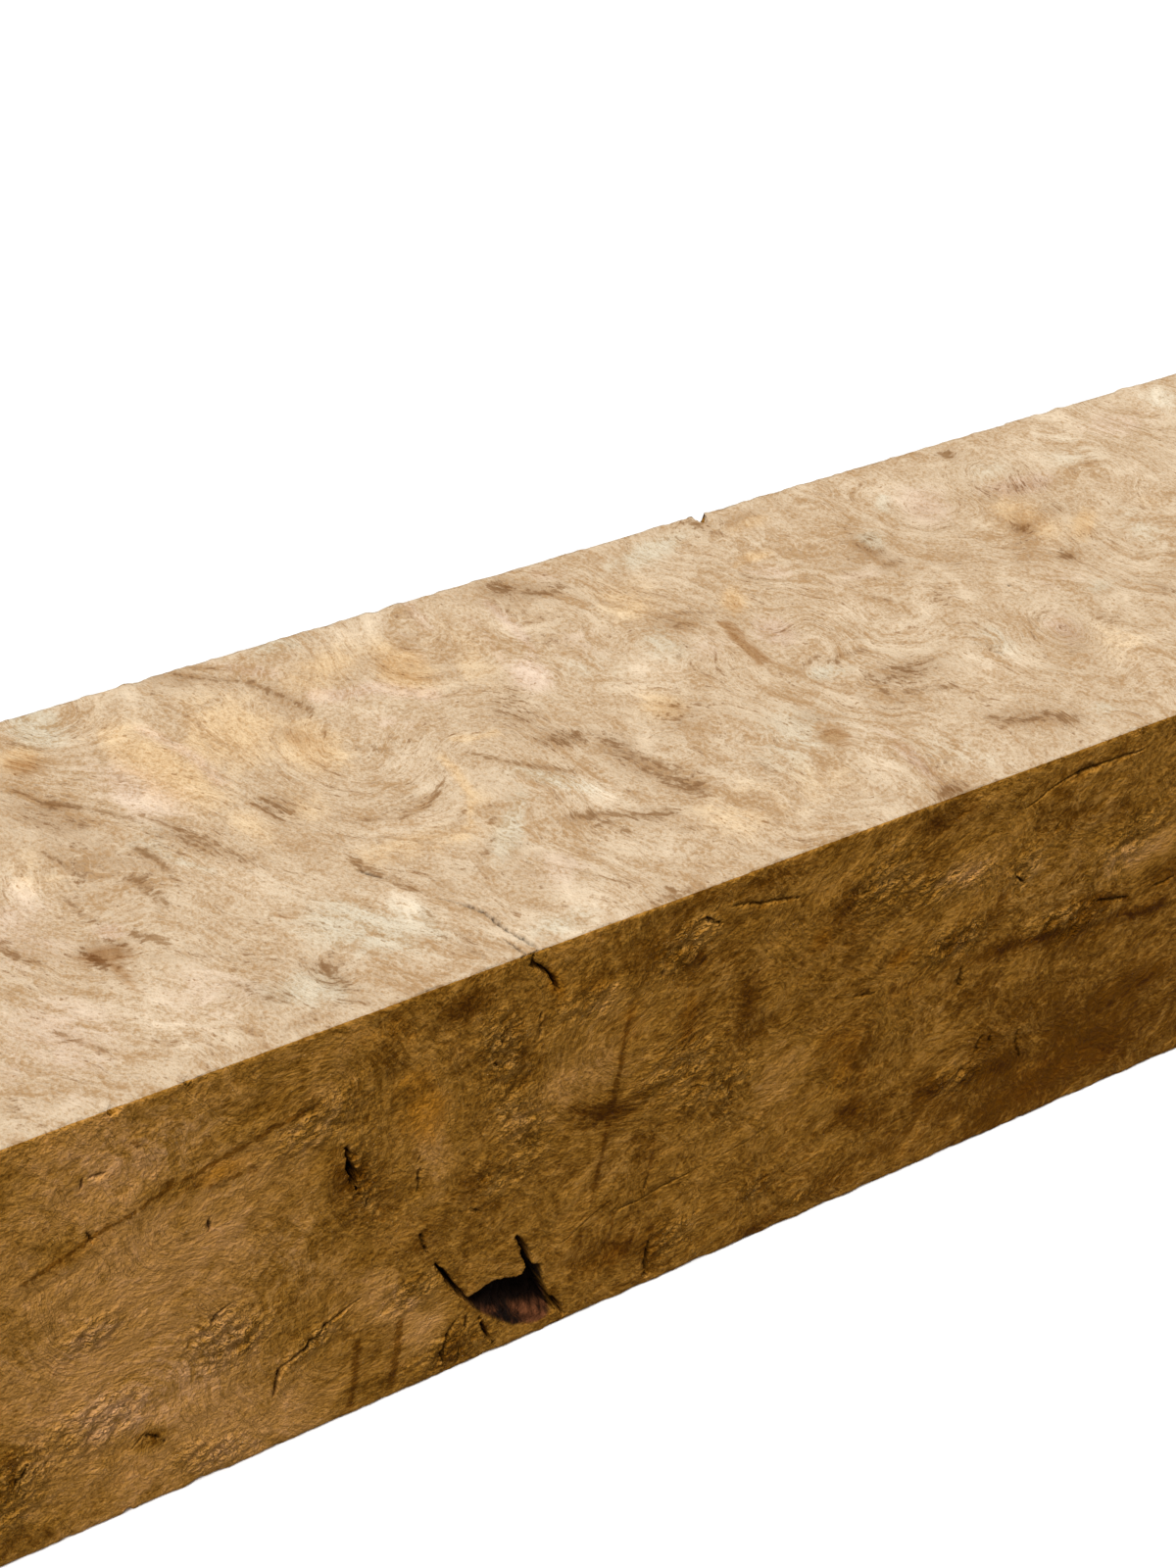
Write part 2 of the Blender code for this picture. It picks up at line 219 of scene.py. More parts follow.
# What tints the top face. A blot is its middle, half sizes, turn in degrees and strength
TOP_BLOTS = {
    "honey": (
        (-44.4, 10.2, 7.0, 2.7, -72, 1.0), (-37.6, 11.2, 4.6, 4.6, 0, 0.85), (-27.5, 14.8, 4.6, 2.4, 15, 0.7),
        (-21.0, 12.6, 2.4, 3.4, 0, 1.1), (-32.6, 7.0, 3.0, 3.6, 0, 0.9), (-15.5, 12.5, 3.4, 5.0, 0, 0.4),
        (-53.6, 15.0, 1.8, 1.9, 0, 1.1), (-31.0, -6.2, 5.5, 1.6, -4, 0.6), (1.2, 12.0, 2.8, 3.6, 0, 0.6),
        (17.2, 16.9, 2.4, 0.9, 4, 0.7), (9.6, 8.4, 2.4, 1.1, 58, 1.0), (41.5, 7.2, 3.0, 3.6, 0, 0.85),
        (46.6, 4.7, 3.2, 1.0, 38, 0.95), (3.0, -13.5, 4.0, 3.0, 0, 0.35), (-5.0, -14.0, 5.0, 3.2, 0, 0.45),
        (-3.8, -0.6, 2.2, 1.9, -35, 0.7), (-41.0, 0.6, 1.6, 3.4, 20, 0.5), (15.0, 12.6, 2.2, 0.5, 4, 0.8),
        (23.6, 13.0, 1.5, 0.7, 0, 0.3), (-36.2, 2.0, 2.0, 3.0, 0, 0.5), (54.5, 4.4, 0.9, 1.1, 0, 0.6),
        (-58.0, 3.6, 2.4, 3.0, 20, 0.4), (38.0, -10.5, 3.0, 3.0, 0, 0.35), (-23.6, -5.6, 1.0, 3.4, -10, 0.35),
    ),
    "grey": (
        (-51.0, 17.9, 2.7, 2.6, 0, 1.1), (-38.8, -12.2, 5.4, 3.2, -38, 0.8), (-28.9, 18.9, 2.8, 1.1, 5, 0.9),
        (-17.0, -4.4, 3.6, 1.1, -45, 1.0), (-22.8, -7.4, 4.4, 1.2, 44, 0.9), (6.4, 17.0, 5.2, 1.3, 8, 0.8),
        (10.9, -2.8, 2.6, 0.9, -6, 0.9), (0.8, 6.2, 2.0, 2.8, 0, 0.7), (26.2, 10.4, 1.5, 1.3, 0, 0.8),
        (27.6, -5.4, 2.0, 2.2, 0, 0.6), (3.5, -9.0, 5.0, 3.6, 30, 0.5), (43.0, 14.6, 2.6, 1.6, 0, 0.4),
        (52.0, 13.0, 3.0, 4.0, 0, 0.35), (51.0, 2.0, 2.0, 3.0, 0, 0.45), (-45.5, -16.0, 3.8, 1.9, -25, 0.7),
        (-25.0, -18.2, 3.0, 1.1, 0, 0.7), (15.0, -16.0, 4.0, 2.2, -30, 0.4), (-7.0, 6.0, 2.6, 2.2, 0, 0.4),
        (31.0, -16.6, 1.4, 1.1, 0, 0.6), (-34.4, -14.0, 0.8, 3.0, -10, 0.6), (67.0, 17.0, 3.0, 2.0, 0, 0.5),
        (41.2, -3.4, 1.6, 0.8, 0, 0.6), (-49.0, 2.6, 1.8, 2.0, 0, 0.5),
    ),
    "lilac": (
        (-47.0, 8.4, 2.6, 5.0, 24, 0.7), (-11.8, 7.3, 1.7, 2.0, 0, 1.1), (10.4, 3.6, 1.9, 2.1, 0, 0.8),
        (11.6, -15.0, 0.9, 4.2, 4, 0.9), (14.6, 10.7, 2.6, 0.9, -30, 0.6), (34.2, 12.6, 2.6, 2.9, 0, 0.6),
        (34.5, -6.8, 1.7, 2.0, 0, 0.7), (44.6, 11.4, 4.6, 1.4, -6, 0.8), (-62.0, -1.0, 4.0, 5.0, 0, 0.5),
        (-64.0, -13.0, 5.0, 5.0, 0, 0.5), (-32.6, 17.2, 3.2, 0.9, -36, 0.7), (60.0, 15.5, 4.0, 2.0, 0, 0.5),
        (-55.8, -4.6, 1.2, 0.8, -30, 0.9), (-6.0, 9.0, 2.4, 2.2, 0, 0.4), (-52.0, -13.0, 4.0, 3.0, 0, 0.35),
        (22.0, 6.0, 3.4, 2.0, 0, 0.35), (38.6, -1.0, 2.2, 1.6, 0, 0.4), (-24.6, 6.4, 3.0, 1.0, -30, 0.5),
        (4.0, 3.6, 2.2, 1.8, 0, 0.35), (-3.0, 18.0, 2.0, 1.2, 0, 0.4), (-22.0, -13.0, 3.0, 2.0, 0, 0.4),
    ),
    "dark": (
        (-53.6, 9.4, 1.1, 0.6, -30, 1.2), (-45.6, 1.0, 4.4, 0.9, -62, 0.85), (-52.6, 6.5, 0.6, 0.9, 0, 0.9),
        (-36.0, -6.8, 0.25, 0.3, 0, 1.6), (-35.0, -8.0, 0.2, 0.3, 0, 1.6), (-62.3, -4.6, 1.6, 0.5, -35, 0.5),
        (-15.4, 4.8, 2.9, 1.9, 50, 0.6), (-15.0, 3.0, 2.0, 0.9, 10, 0.5), (-13.6, -0.7, 2.5, 1.0, -14, 0.85),
        (-7.2, -9.9, 1.8, 1.2, -40, 0.8), (-3.6, -1.4, 1.9, 1.9, -35, 0.55), (-17.2, -8.7, 1.5, 0.5, -12, 0.9),
        (-8.0, 17.9, 1.0, 1.4, 0, 0.7), (-0.5, -10.0, 0.6, 1.7, 12, 0.7), (-10.5, -13.7, 1.4, 0.5, -15, 0.8),
        (-15.6, -19.5, 2.8, 0.6, 0, 0.9), (-24.1, -12.7, 0.3, 0.3, 0, 2.0), (-15.7, -18.6, 0.27, 0.27, 0, 2.0),
        (-15.1, -11.9, 0.16, 0.16, 0, 1.6), (-36.7, -13.4, 0.16, 0.16, 0, 2.0),
        (35.9, -15.0, 0.16, 0.16, 0, 2.0), (37.8, -16.5, 0.2, 0.2, 0, 1.6),
        (12.8, 18.8, 0.7, 0.7, 0, 1.1), (17.4, -5.9, 3.8, 1.0, -8, 0.65),
        (26.9, -16.4, 2.0, 0.9, -22, 0.9), (11.8, -19.3, 2.2, 0.8, 0, 1.2), (11.6, -16.0, 0.8, 3.2, 4, 0.5),
        (26.3, 10.8, 0.8, 0.55, 0, 1.1), (26.2, 6.8, 1.7, 0.6, 10, 0.6), (13.9, 6.6, 0.6, 0.5, 0, 0.6),
        (17.6, 6.0, 0.6, 0.3, 0, 0.6), (41.0, 18.0, 0.8, 0.7, -30, 1.6), (40.4, 6.3, 1.4, 0.9, 0, 0.9),
        (41.4, 1.4, 1.0, 0.6, 0, 1.0), (45.7, 2.7, 0.6, 0.4, 0, 1.1), (39.0, -6.8, 1.2, 1.5, 0, 0.65),
        (47.0, -6.4, 1.1, 1.2, 0, 0.5), (45.0, 7.4, 1.9, 1.2, 0, 0.5), (9.7, -3.8, 0.4, 0.16, 10, 1.2),
        (11.4, -3.3, 0.4, 0.16, -10, 1.2), (3.4, 7.6, 2.2, 0.9, -12, 0.6), (44.4, 11.4, 4.2, 1.0, -6, 0.45),
        (11.4, 2.6, 1.0, 1.2, 0, 0.6), (-50.0, -10.0, 3.0, 0.6, -14, 0.3), (-29.8, -1.9, 2.2, 0.8, 5, 0.35),
        (22.0, 17.6, 1.0, 0.8, 0, 0.35), (27.0, -6.2, 0.8, 0.5, 0, 0.6), (-33.4, -8.4, 0.4, 0.3, 0, 0.8),
        (6.0, -7.2, 1.8, 0.35, -6, 0.7), (-47.4, -18.6, 1.6, 0.7, 10, 0.6), (-69.0, -17.0, 1.2, 0.9, 0, 0.6),
    ),
    "rust": (
        (7.0, 0.6, 1.0, 0.5, 0, 1.1), (5.4, 5.5, 0.6, 0.5, 0, 0.8), (7.0, -9.7, 1.4, 1.0, 0, 1.6),
        (7.0, -11.1, 1.4, 0.35, 0, 0.8), (6.1, -16.4, 0.4, 0.6, 0, 1.0), (-57.2, -6.4, 2.0, 1.0, -10, 1.3),
        (-53.4, -3.4, 0.5, 0.4, 0, 0.8), (45.9, 3.5, 0.9, 0.8, 30, 0.7), (-53.9, 14.3, 1.7, 1.2, -20, 0.8),
        (30.4, 10.2, 0.6, 0.25, -15, 0.5), (-56.9, -10.2, 0.4, 1.1, 0, 0.6), (9.4, 8.0, 1.9, 0.7, 58, 0.5),
        (-20.6, 12.2, 2.6, 2.2, -30, 0.35), (-36.8, 12.0, 0.6, 0.6, 0, 0.4), (-33.0, 8.4, 1.1, 1.8, 10, 0.6),
        (-4.0, 18.4, 1.0, 0.5, 0, 0.5), (-68.4, -14.0, 0.9, 0.8, 0, 0.5),
    ),
}

# A stroke is its width, strength and route
STROKE_FADE = 0.12  # how much of a stroke fades at each end
TOP_STROKES = {
    "lilac": (
        (0.9, 0.9, ((-44.3, 15.2), (-42.4, 12.1), (-41.3, 9.3), (-40.9, 5.4))),
        (1.2, 1.0, ((-30.8, 12.9), (-27.1, 11.5), (-24.2, 11.1), (-21.7, 9.3), (-19.4, 7.7))),
        (1.0, 0.7, ((-16.5, 20.0), (-16.4, 15.0))),
        (0.8, 0.8, ((-10.2, 18.0), (-9.8, 14.0), (-9.8, 10.6), (-10.8, 8.0))),
        (0.8, 0.5, ((-12.8, 16.5), (-12.6, 11.4), (-13.4, 8.8))),
        (0.6, 0.5, ((-19.2, 19.0), (-18.6, 12.0))),
    ),
    "grey": (
        (0.8, 0.8, ((-49.5, 3.5), (-48.2, 0.6), (-45.8, -3.0))),
        (0.9, 0.7, ((29.6, 12.8), (30.4, 14.2), (31.5, 15.6))),
    ),
    "honey": (
        (0.7, 0.8, ((-23.8, 2.8), (-23.6, -0.2), (-24.0, -3.4), (-26.2, -6.4), (-28.8, -7.6))),
        (0.7, 0.7, ((-22.6, 3.4), (-20.2, 2.6), (-17.6, 2.3))),
        (0.8, 0.8, ((12.1, 11.8), (13.6, 12.9), (17.4, 12.7))),
        (0.6, 0.5, ((-9.4, -11.6), (-6.4, -13.0), (-3.8, -13.9), (-1.2, -13.3))),
        (0.6, 0.5, ((-6.4, -15.2), (-3.4, -15.6), (-1.0, -14.6))),
    ),
    "dark": (
        (0.55, 0.95, ((-56.6, 13.0), (-54.9, 11.1), (-53.8, 9.6), (-52.4, 8.7), (-50.9, 7.5), (-49.1, 5.7),
                      (-47.6, 3.6))),
        (0.35, 0.8, ((-53.9, 17.4), (-52.6, 16.2), (-51.4, 15.3))),
        (1.1, 0.75, ((-52.1, 0.4), (-51.4, -2.1), (-50.6, -4.5))),
        (0.7, 1.0, ((-50.3, 3.0), (-49.5, 1.1), (-48.8, -1.5))),
        (0.7, 1.0, ((-54.8, -5.1), (-53.6, -6.2), (-52.4, -7.8))),
        (0.7, 0.9, ((-63.6, -1.9), (-62.8, -4.4))),
        (0.6, 0.8, ((-38.9, 20.0), (-37.0, 18.2), (-34.0, 16.5), (-33.2, 15.6))),
        (0.4, 0.6, ((-37.4, 20.0), (-35.0, 18.5), (-33.0, 17.4))),
        (0.8, 0.85, ((-34.2, 16.6), (-32.4, 14.6), (-31.4, 12.9), (-30.7, 11.3), (-30.4, 9.6))),
        (0.4, 1.1, ((-39.2, 3.8), (-38.3, 2.1), (-37.4, 0.5))),
        (0.35, 0.9, ((-38.3, 3.6), (-36.8, 1.2))),
        (0.35, 0.8, ((-40.1, 3.6), (-39.2, 1.8), (-38.4, -0.2))),
        (1.5, 0.5, ((-48.4, 5.2), (-46.2, 2.2), (-44.4, -0.8), (-42.2, -4.4))),
        (0.4, 0.85, ((-48.9, 6.4), (-47.2, 4.2), (-45.9, 1.6), (-45.2, -1.0))),
        (0.4, 0.75, ((-46.6, 3.8), (-44.6, 0.8), (-43.0, -2.8))),
        (0.4, 0.8, ((-50.5, -12.4), (-49.7, -14.0), (-48.6, -15.6), (-47.4, -16.6))),
        (0.45, 0.95, ((-45.4, -13.2), (-44.2, -14.6), (-43.3, -16.0), (-42.9, -17.4))),
        (0.35, 0.6, ((-50.6, -12.2), (-48.9, -11.6), (-47.0, -11.8), (-45.4, -13.2))),
        (0.45, 0.7, ((-57.4, 6.2), (-56.2, 4.2), (-55.4, 2.2), (-54.9, 0.8))),
        (0.4, 0.6, ((-57.5, 1.4), (-57.0, -1.4), (-56.0, -4.0))),
        (0.4, 0.7, ((-34.0, -11.8), (-33.6, -14.4), (-32.6, -17.0), (-32.2, -19.4))),
        (0.5, 0.6, ((-31.0, 9.0), (-30.4, 6.6), (-28.6, 4.8), (-26.4, 4.0))),
        (0.7, 1.0, ((-36.4, -4.8), (-35.5, -6.6), (-34.7, -8.4), (-33.0, -10.9))),
        (2.2, 0.7, ((-10.9, -1.3), (-9.9, -4.5), (-8.4, -7.6), (-7.2, -10.4))),
        (0.55, 1.0, ((-22.1, 1.8), (-20.3, 0.0), (-18.1, -2.1), (-16.4, -3.2), (-14.4, -4.7))),
        (0.7, 0.9, ((-19.4, -8.5), (-16.0, -9.3), (-12.8, -11.1), (-9.4, -11.8))),
        (0.4, 0.7, ((-18.0, -10.2), (-14.0, -10.7), (-11.0, -12.2))),
        (0.8, 0.8, ((-7.0, 16.9), (-4.9, 15.7), (-2.2, 16.3))),
        (0.6, 1.1, ((-58.7, -4.8), (-58.1, -6.4), (-57.6, -8.0))),
        (0.5, 1.0, ((-57.8, -5.0), (-56.3, -5.4), (-55.1, -6.5))),
        (0.45, 0.7, ((14.6, -5.2), (14.3, -7.1), (15.2, -9.4))),
        (0.7, 0.9, ((15.7, -7.4), (18.0, -8.2), (20.9, -9.0))),
        (0.8, 1.0, ((20.1, -12.9), (21.8, -14.3), (23.2, -15.2), (25.0, -15.2), (26.5, -14.7))),
        (0.6, 0.5, ((31.9, 15.5), (31.0, 13.6), (30.7, 11.8), (31.1, 10.3), (32.9, 9.3), (35.7, 8.9))),
        (0.7, 0.7, ((24.6, 11.1), (24.8, 9.6), (25.6, 8.8), (26.9, 8.8))),
        (0.5, 0.8, ((21.0, 4.0), (22.9, 2.4))),
        (0.4, 0.6, ((32.5, -5.0), (33.9, -4.2), (35.5, -4.6))),
        (0.6, 0.45, ((39.4, 14.0), (40.6, 12.5), (43.9, 12.2), (46.1, 14.3))),
        (0.45, 0.6, ((12.1, 11.8), (12.9, 10.4), (15.4, 8.9), (16.5, 8.3))),
        (0.6, 0.7, ((8.4, -2.0), (10.7, -1.1), (12.5, -1.6), (16.8, -1.7))),
        (0.45, 0.7, ((1.4, 9.3), (5.0, 8.6), (7.7, 7.7))),
        (0.8, 0.6, ((-49.9, -13.1), (-49.2, -15.0), (-47.0, -16.3))),
        (0.6, 0.7, ((-45.3, -12.7), (-43.5, -14.6), (-42.8, -17.4))),
        (0.6, 0.6, ((-45.2, -13.2), (-44.6, -15.6), (-43.0, -17.6))),
        (0.5, 0.6, ((-45.8, -18.8), (-44.1, -17.8), (-42.2, -19.4))),
        (0.5, 0.8, ((-64.0, -11.2), (-62.6, -13.4), (-61.0, -15.4))),
        (0.45, 0.6, ((-34.3, -12.0), (-34.2, -15.0), (-33.0, -17.5), (-32.2, -19.7))),
        (0.9, 0.7, ((13.4, -4.8), (17.0, -4.9), (21.6, -5.6))),
        (0.35, 0.6, ((-21.6, -13.2), (-20.0, -15.0), (-17.6, -17.4))),
        (0.4, 0.5, ((-9.9, 17.6), (-9.5, 13.6), (-9.4, 10.0))),
        (0.5, 0.7, ((-24.4, 2.6), (-25.2, -1.0), (-27.8, -2.9), (-30.6, -3.0), (-33.9, -1.9), (-36.0, 0.0))),
        (0.4, 0.5, ((-23.3, 1.4), (-24.6, -4.0), (-27.4, -5.7), (-30.3, -6.1), (-33.1, -4.7), (-36.2, -2.2))),
        (0.6, 0.45, ((-22.6, -3.6), (-24.8, -8.0), (-28.1, -10.4), (-30.6, -9.4))),
    ),
    "rust": (
        (0.9, 1.6, ((7.0, 6.9), (7.1, 3.5), (7.2, 0.2))),
        (0.7, 0.9, ((-57.4, -6.6), (-57.0, -8.4), (-56.8, -10.8))),
    ),
}

# What tints the front, in the same way
FRONT_BLOTS = {
    "dark": (
        (-34.3, 46.6, 1.6, 1.5, 0, 1.1), (-12.2, 42.0, 0.9, 1.0, 0, 1.0), (-12.0, 34.8, 0.9, 3.0, 8, 0.7),
        (-5.8, 34.5, 1.0, 3.4, 0, 0.8), (-0.6, 36.3, 0.35, 1.9, 0, 0.8), (-4.0, 29.5, 1.1, 0.9, 0, 0.6),
        # The dark blot at (-58.8, 9.0) is a painted shadow in the torn wedge there
        (-31.4, 25.4, 1.7, 1.3, 0, 0.6), (-58.8, 9.0, 2.0, 1.0, -42, 1.0), (-69.5, 2.0, 2.6, 1.2, 0, 0.6),
        (11.5, 47.4, 3.6, 1.5, -8, 0.8), (9.0, 48.6, 1.1, 1.0, 0, 0.8), (14.0, 48.0, 0.9, 1.3, 0, 0.9),
        (2.9, 41.5, 1.0, 2.2, -20, 0.9), (0.8, 38.0, 1.3, 1.6, 0, 0.6), (9.6, 12.9, 1.8, 0.6, -38, 1.2),
        (20.0, 10.7, 1.8, 1.2, -20, 0.9), (28.2, 9.8, 2.0, 1.0, -32, 0.9), (17.6, 11.2, 1.0, 0.9, 0, 0.6),
        (24.2, 9.6, 1.3, 1.0, 0, 0.8), (-15.0, 7.2, 4.4, 1.7, 0, 0.55), (2.0, 1.0, 2.2, 0.7, 0, 0.9),
        (40.4, 8.0, 1.8, 1.1, 0, 0.6), (40.0, 18.3, 3.0, 0.4, 0, 0.6), (42.0, 15.0, 2.2, 1.0, 0, 0.6),
        (-22.6, 22.5, 0.4, 0.2, 0, 1.2), (2.3, 14.5, 0.25, 0.25, 0, 1.8), (4.3, 16.6, 0.2, 0.3, 0, 1.5),
        (4.6, 15.2, 0.2, 0.3, 0, 1.5), (30.4, 17.7, 0.3, 0.3, 0, 1.4), (21.3, 34.5, 0.6, 0.8, 0, 0.9),
        (-61.5, 45.4, 0.6, 0.8, 0, 0.9), (-47.0, 18.8, 0.35, 1.1, 0, 0.8), (-58.6, 39.4, 0.8, 0.5, 0, 1.1),
        (-34.2, 42.0, 1.2, 2.0, 0, 0.45), (-50.0, 41.0, 2.4, 1.2, 0, 0.5), (-69.8, 37.0, 0.8, 1.6, 0, 0.5),
        (31.0, 9.5, 3.0, 2.0, 0, 0.4), (45.0, 6.0, 5.0, 4.0, 0, 0.5), (36.0, 14.0, 4.0, 2.4, 0, 0.4),
        (-70.5, 14.0, 1.6, 1.4, 0, 0.8), (-48.6, 28.8, 0.6, 0.9, 0, 0.7), (17.0, 30.8, 1.6, 1.2, 0, 0.6),
        (-16.0, 48.4, 3.0, 1.0, 0, 0.5), (-5.0, 48.6, 3.0, 1.0, 0, 0.5), (-43.6, 30.0, 1.6, 4.0, 14, 0.35),
    ),
    "honey": (
        (-37.0, 37.0, 2.0, 5.0, 24, 0.8), (10.7, 31.8, 1.4, 1.2, 0, 0.8), (1.0, 38.5, 1.4, 1.6, 0, 0.7),
        (8.0, 19.0, 2.0, 5.0, 24, 0.6), (-22.0, 43.6, 2.6, 1.6, 0, 0.7), (-55.0, 38.4, 3.0, 1.2, 8, 0.7),
        (-26.0, 45.0, 0.8, 2.6, 22, 0.9), (36.0, 6.0, 9.0, 5.0, 0, 0.5), (-14.0, 6.2, 4.0, 2.0, 0, 0.6),
        (-18.0, 37.0, 1.2, 4.0, 0, 0.5), (6.0, 24.0, 3.0, 2.0, 0, 0.5), (-66.0, 35.5, 2.4, 1.0, 20, 0.6),
        (-11.8, 35.0, 0.8, 3.0, 8, 0.7), (12.0, 26.0, 3.0, 1.6, 0, 0.4), (-40.0, 47.0, 1.5, 2.0, 0, 0.4),
    ),
    "lilac": (
        (-60.0, 44.0, 6.0, 4.0, 0, 0.5), (28.5, 33.0, 6.0, 4.0, -10, 0.6), (30.0, 42.0, 4.0, 3.4, 0, 0.5),
        (-57.0, 15.0, 6.0, 5.0, 0, 0.4), (-9.0, 38.0, 1.4, 3.0, 0, 0.5), (-47.0, 24.0, 4.0, 5.0, 0, 0.4),
        (16.0, 22.0, 3.0, 4.0, 0, 0.3), (-16.0, 19.6, 3.0, 3.4, 0, 0.4), (-2.0, 20.0, 3.0, 3.0, 0, 0.3),
    ),
    "grey": (
        (-9.5, 36.6, 1.4, 2.4, 0, 0.5), (7.0, 43.0, 2.0, 3.0, 0, 0.5), (-28.0, 30.0, 4.0, 5.0, 0, 0.3),
    ),
    "rust": (
        (-36.6, 37.5, 0.8, 3.0, 36, 0.6), (-39.5, 24.0, 1.2, 4.0, 8, 0.4), (11.5, 47.6, 2.8, 1.1, -8, 0.5),
        (-70.0, 13.0, 1.4, 1.2, 0, 0.5),
    ),
}

FRONT_STROKES = {
    "dark": (
        (0.55, 1.4, ((-71.9, 33.8), (-68.1, 35.2), (-64.9, 36.6), (-61.6, 37.7), (-58.8, 38.7), (-55.9, 39.5),
                      (-53.4, 40.3), (-49.9, 41.2), (-44.9, 42.0))),
        (0.5, 1.1, ((-58.4, 39.3), (-56.6, 37.9), (-54.9, 37.4), (-50.6, 37.3))),
        (0.6, 1.5, ((-40.0, 11.0), (-40.0, 0.2))),
        (0.6, 1.5, ((-36.1, 11.0), (-36.0, 0.2))),
        (0.5, 1.4, ((-18.1, 41.0), (-18.0, 27.0), (-18.2, 14.0))),
        (0.4, 0.8, ((-12.6, 24.0), (-12.5, 15.0))),
        (0.5, 0.9, ((-18.6, 12.5), (-18.5, 5.0))),
        (0.5, 0.9, ((-15.4, 12.5), (-15.4, 5.0))),
        (0.5, 0.9, ((-12.7, 12.5), (-12.8, 5.0))),
        (2.2, 0.9, ((-22.6, 30.2), (-20.6, 28.2), (-19.2, 26.5), (-17.8, 26.1), (-16.2, 26.7), (-13.8, 28.0))),
        (0.9, 0.8, ((9.4, 27.9), (13.0, 27.7), (16.6, 27.0))),
        (1.2, 1.0, ((19.4, 27.9), (22.1, 27.1), (25.0, 27.1), (27.6, 26.7), (31.4, 26.3))),
        (1.0, 0.8, ((33.4, 29.2), (35.7, 28.4), (38.4, 27.2))),
        (1.2, 1.1, ((35.6, 25.7), (38.1, 25.4), (39.9, 24.6), (42.4, 24.3), (45.4, 24.7))),
        (0.7, 0.9, ((38.2, 10.6), (39.9, 12.0), (41.7, 12.3), (43.5, 13.0), (45.6, 14.3), (48.0, 14.9))),
        (0.4, 0.6, ((42.4, 13.6), (44.6, 14.5), (47.2, 15.3))),
        (0.6, 0.6, ((44.0, 1.9), (48.0, 1.7), (52.0, 1.6))),
        (0.5, 0.6, ((-35.5, 21.4), (-34.2, 17.6))),
        (0.6, 0.6, ((-17.3, 43.4), (-17.4, 41.0))),
        (0.6, 0.6, ((31.4, 29.7), (32.4, 29.3), (33.2, 28.2))),
    ),
}
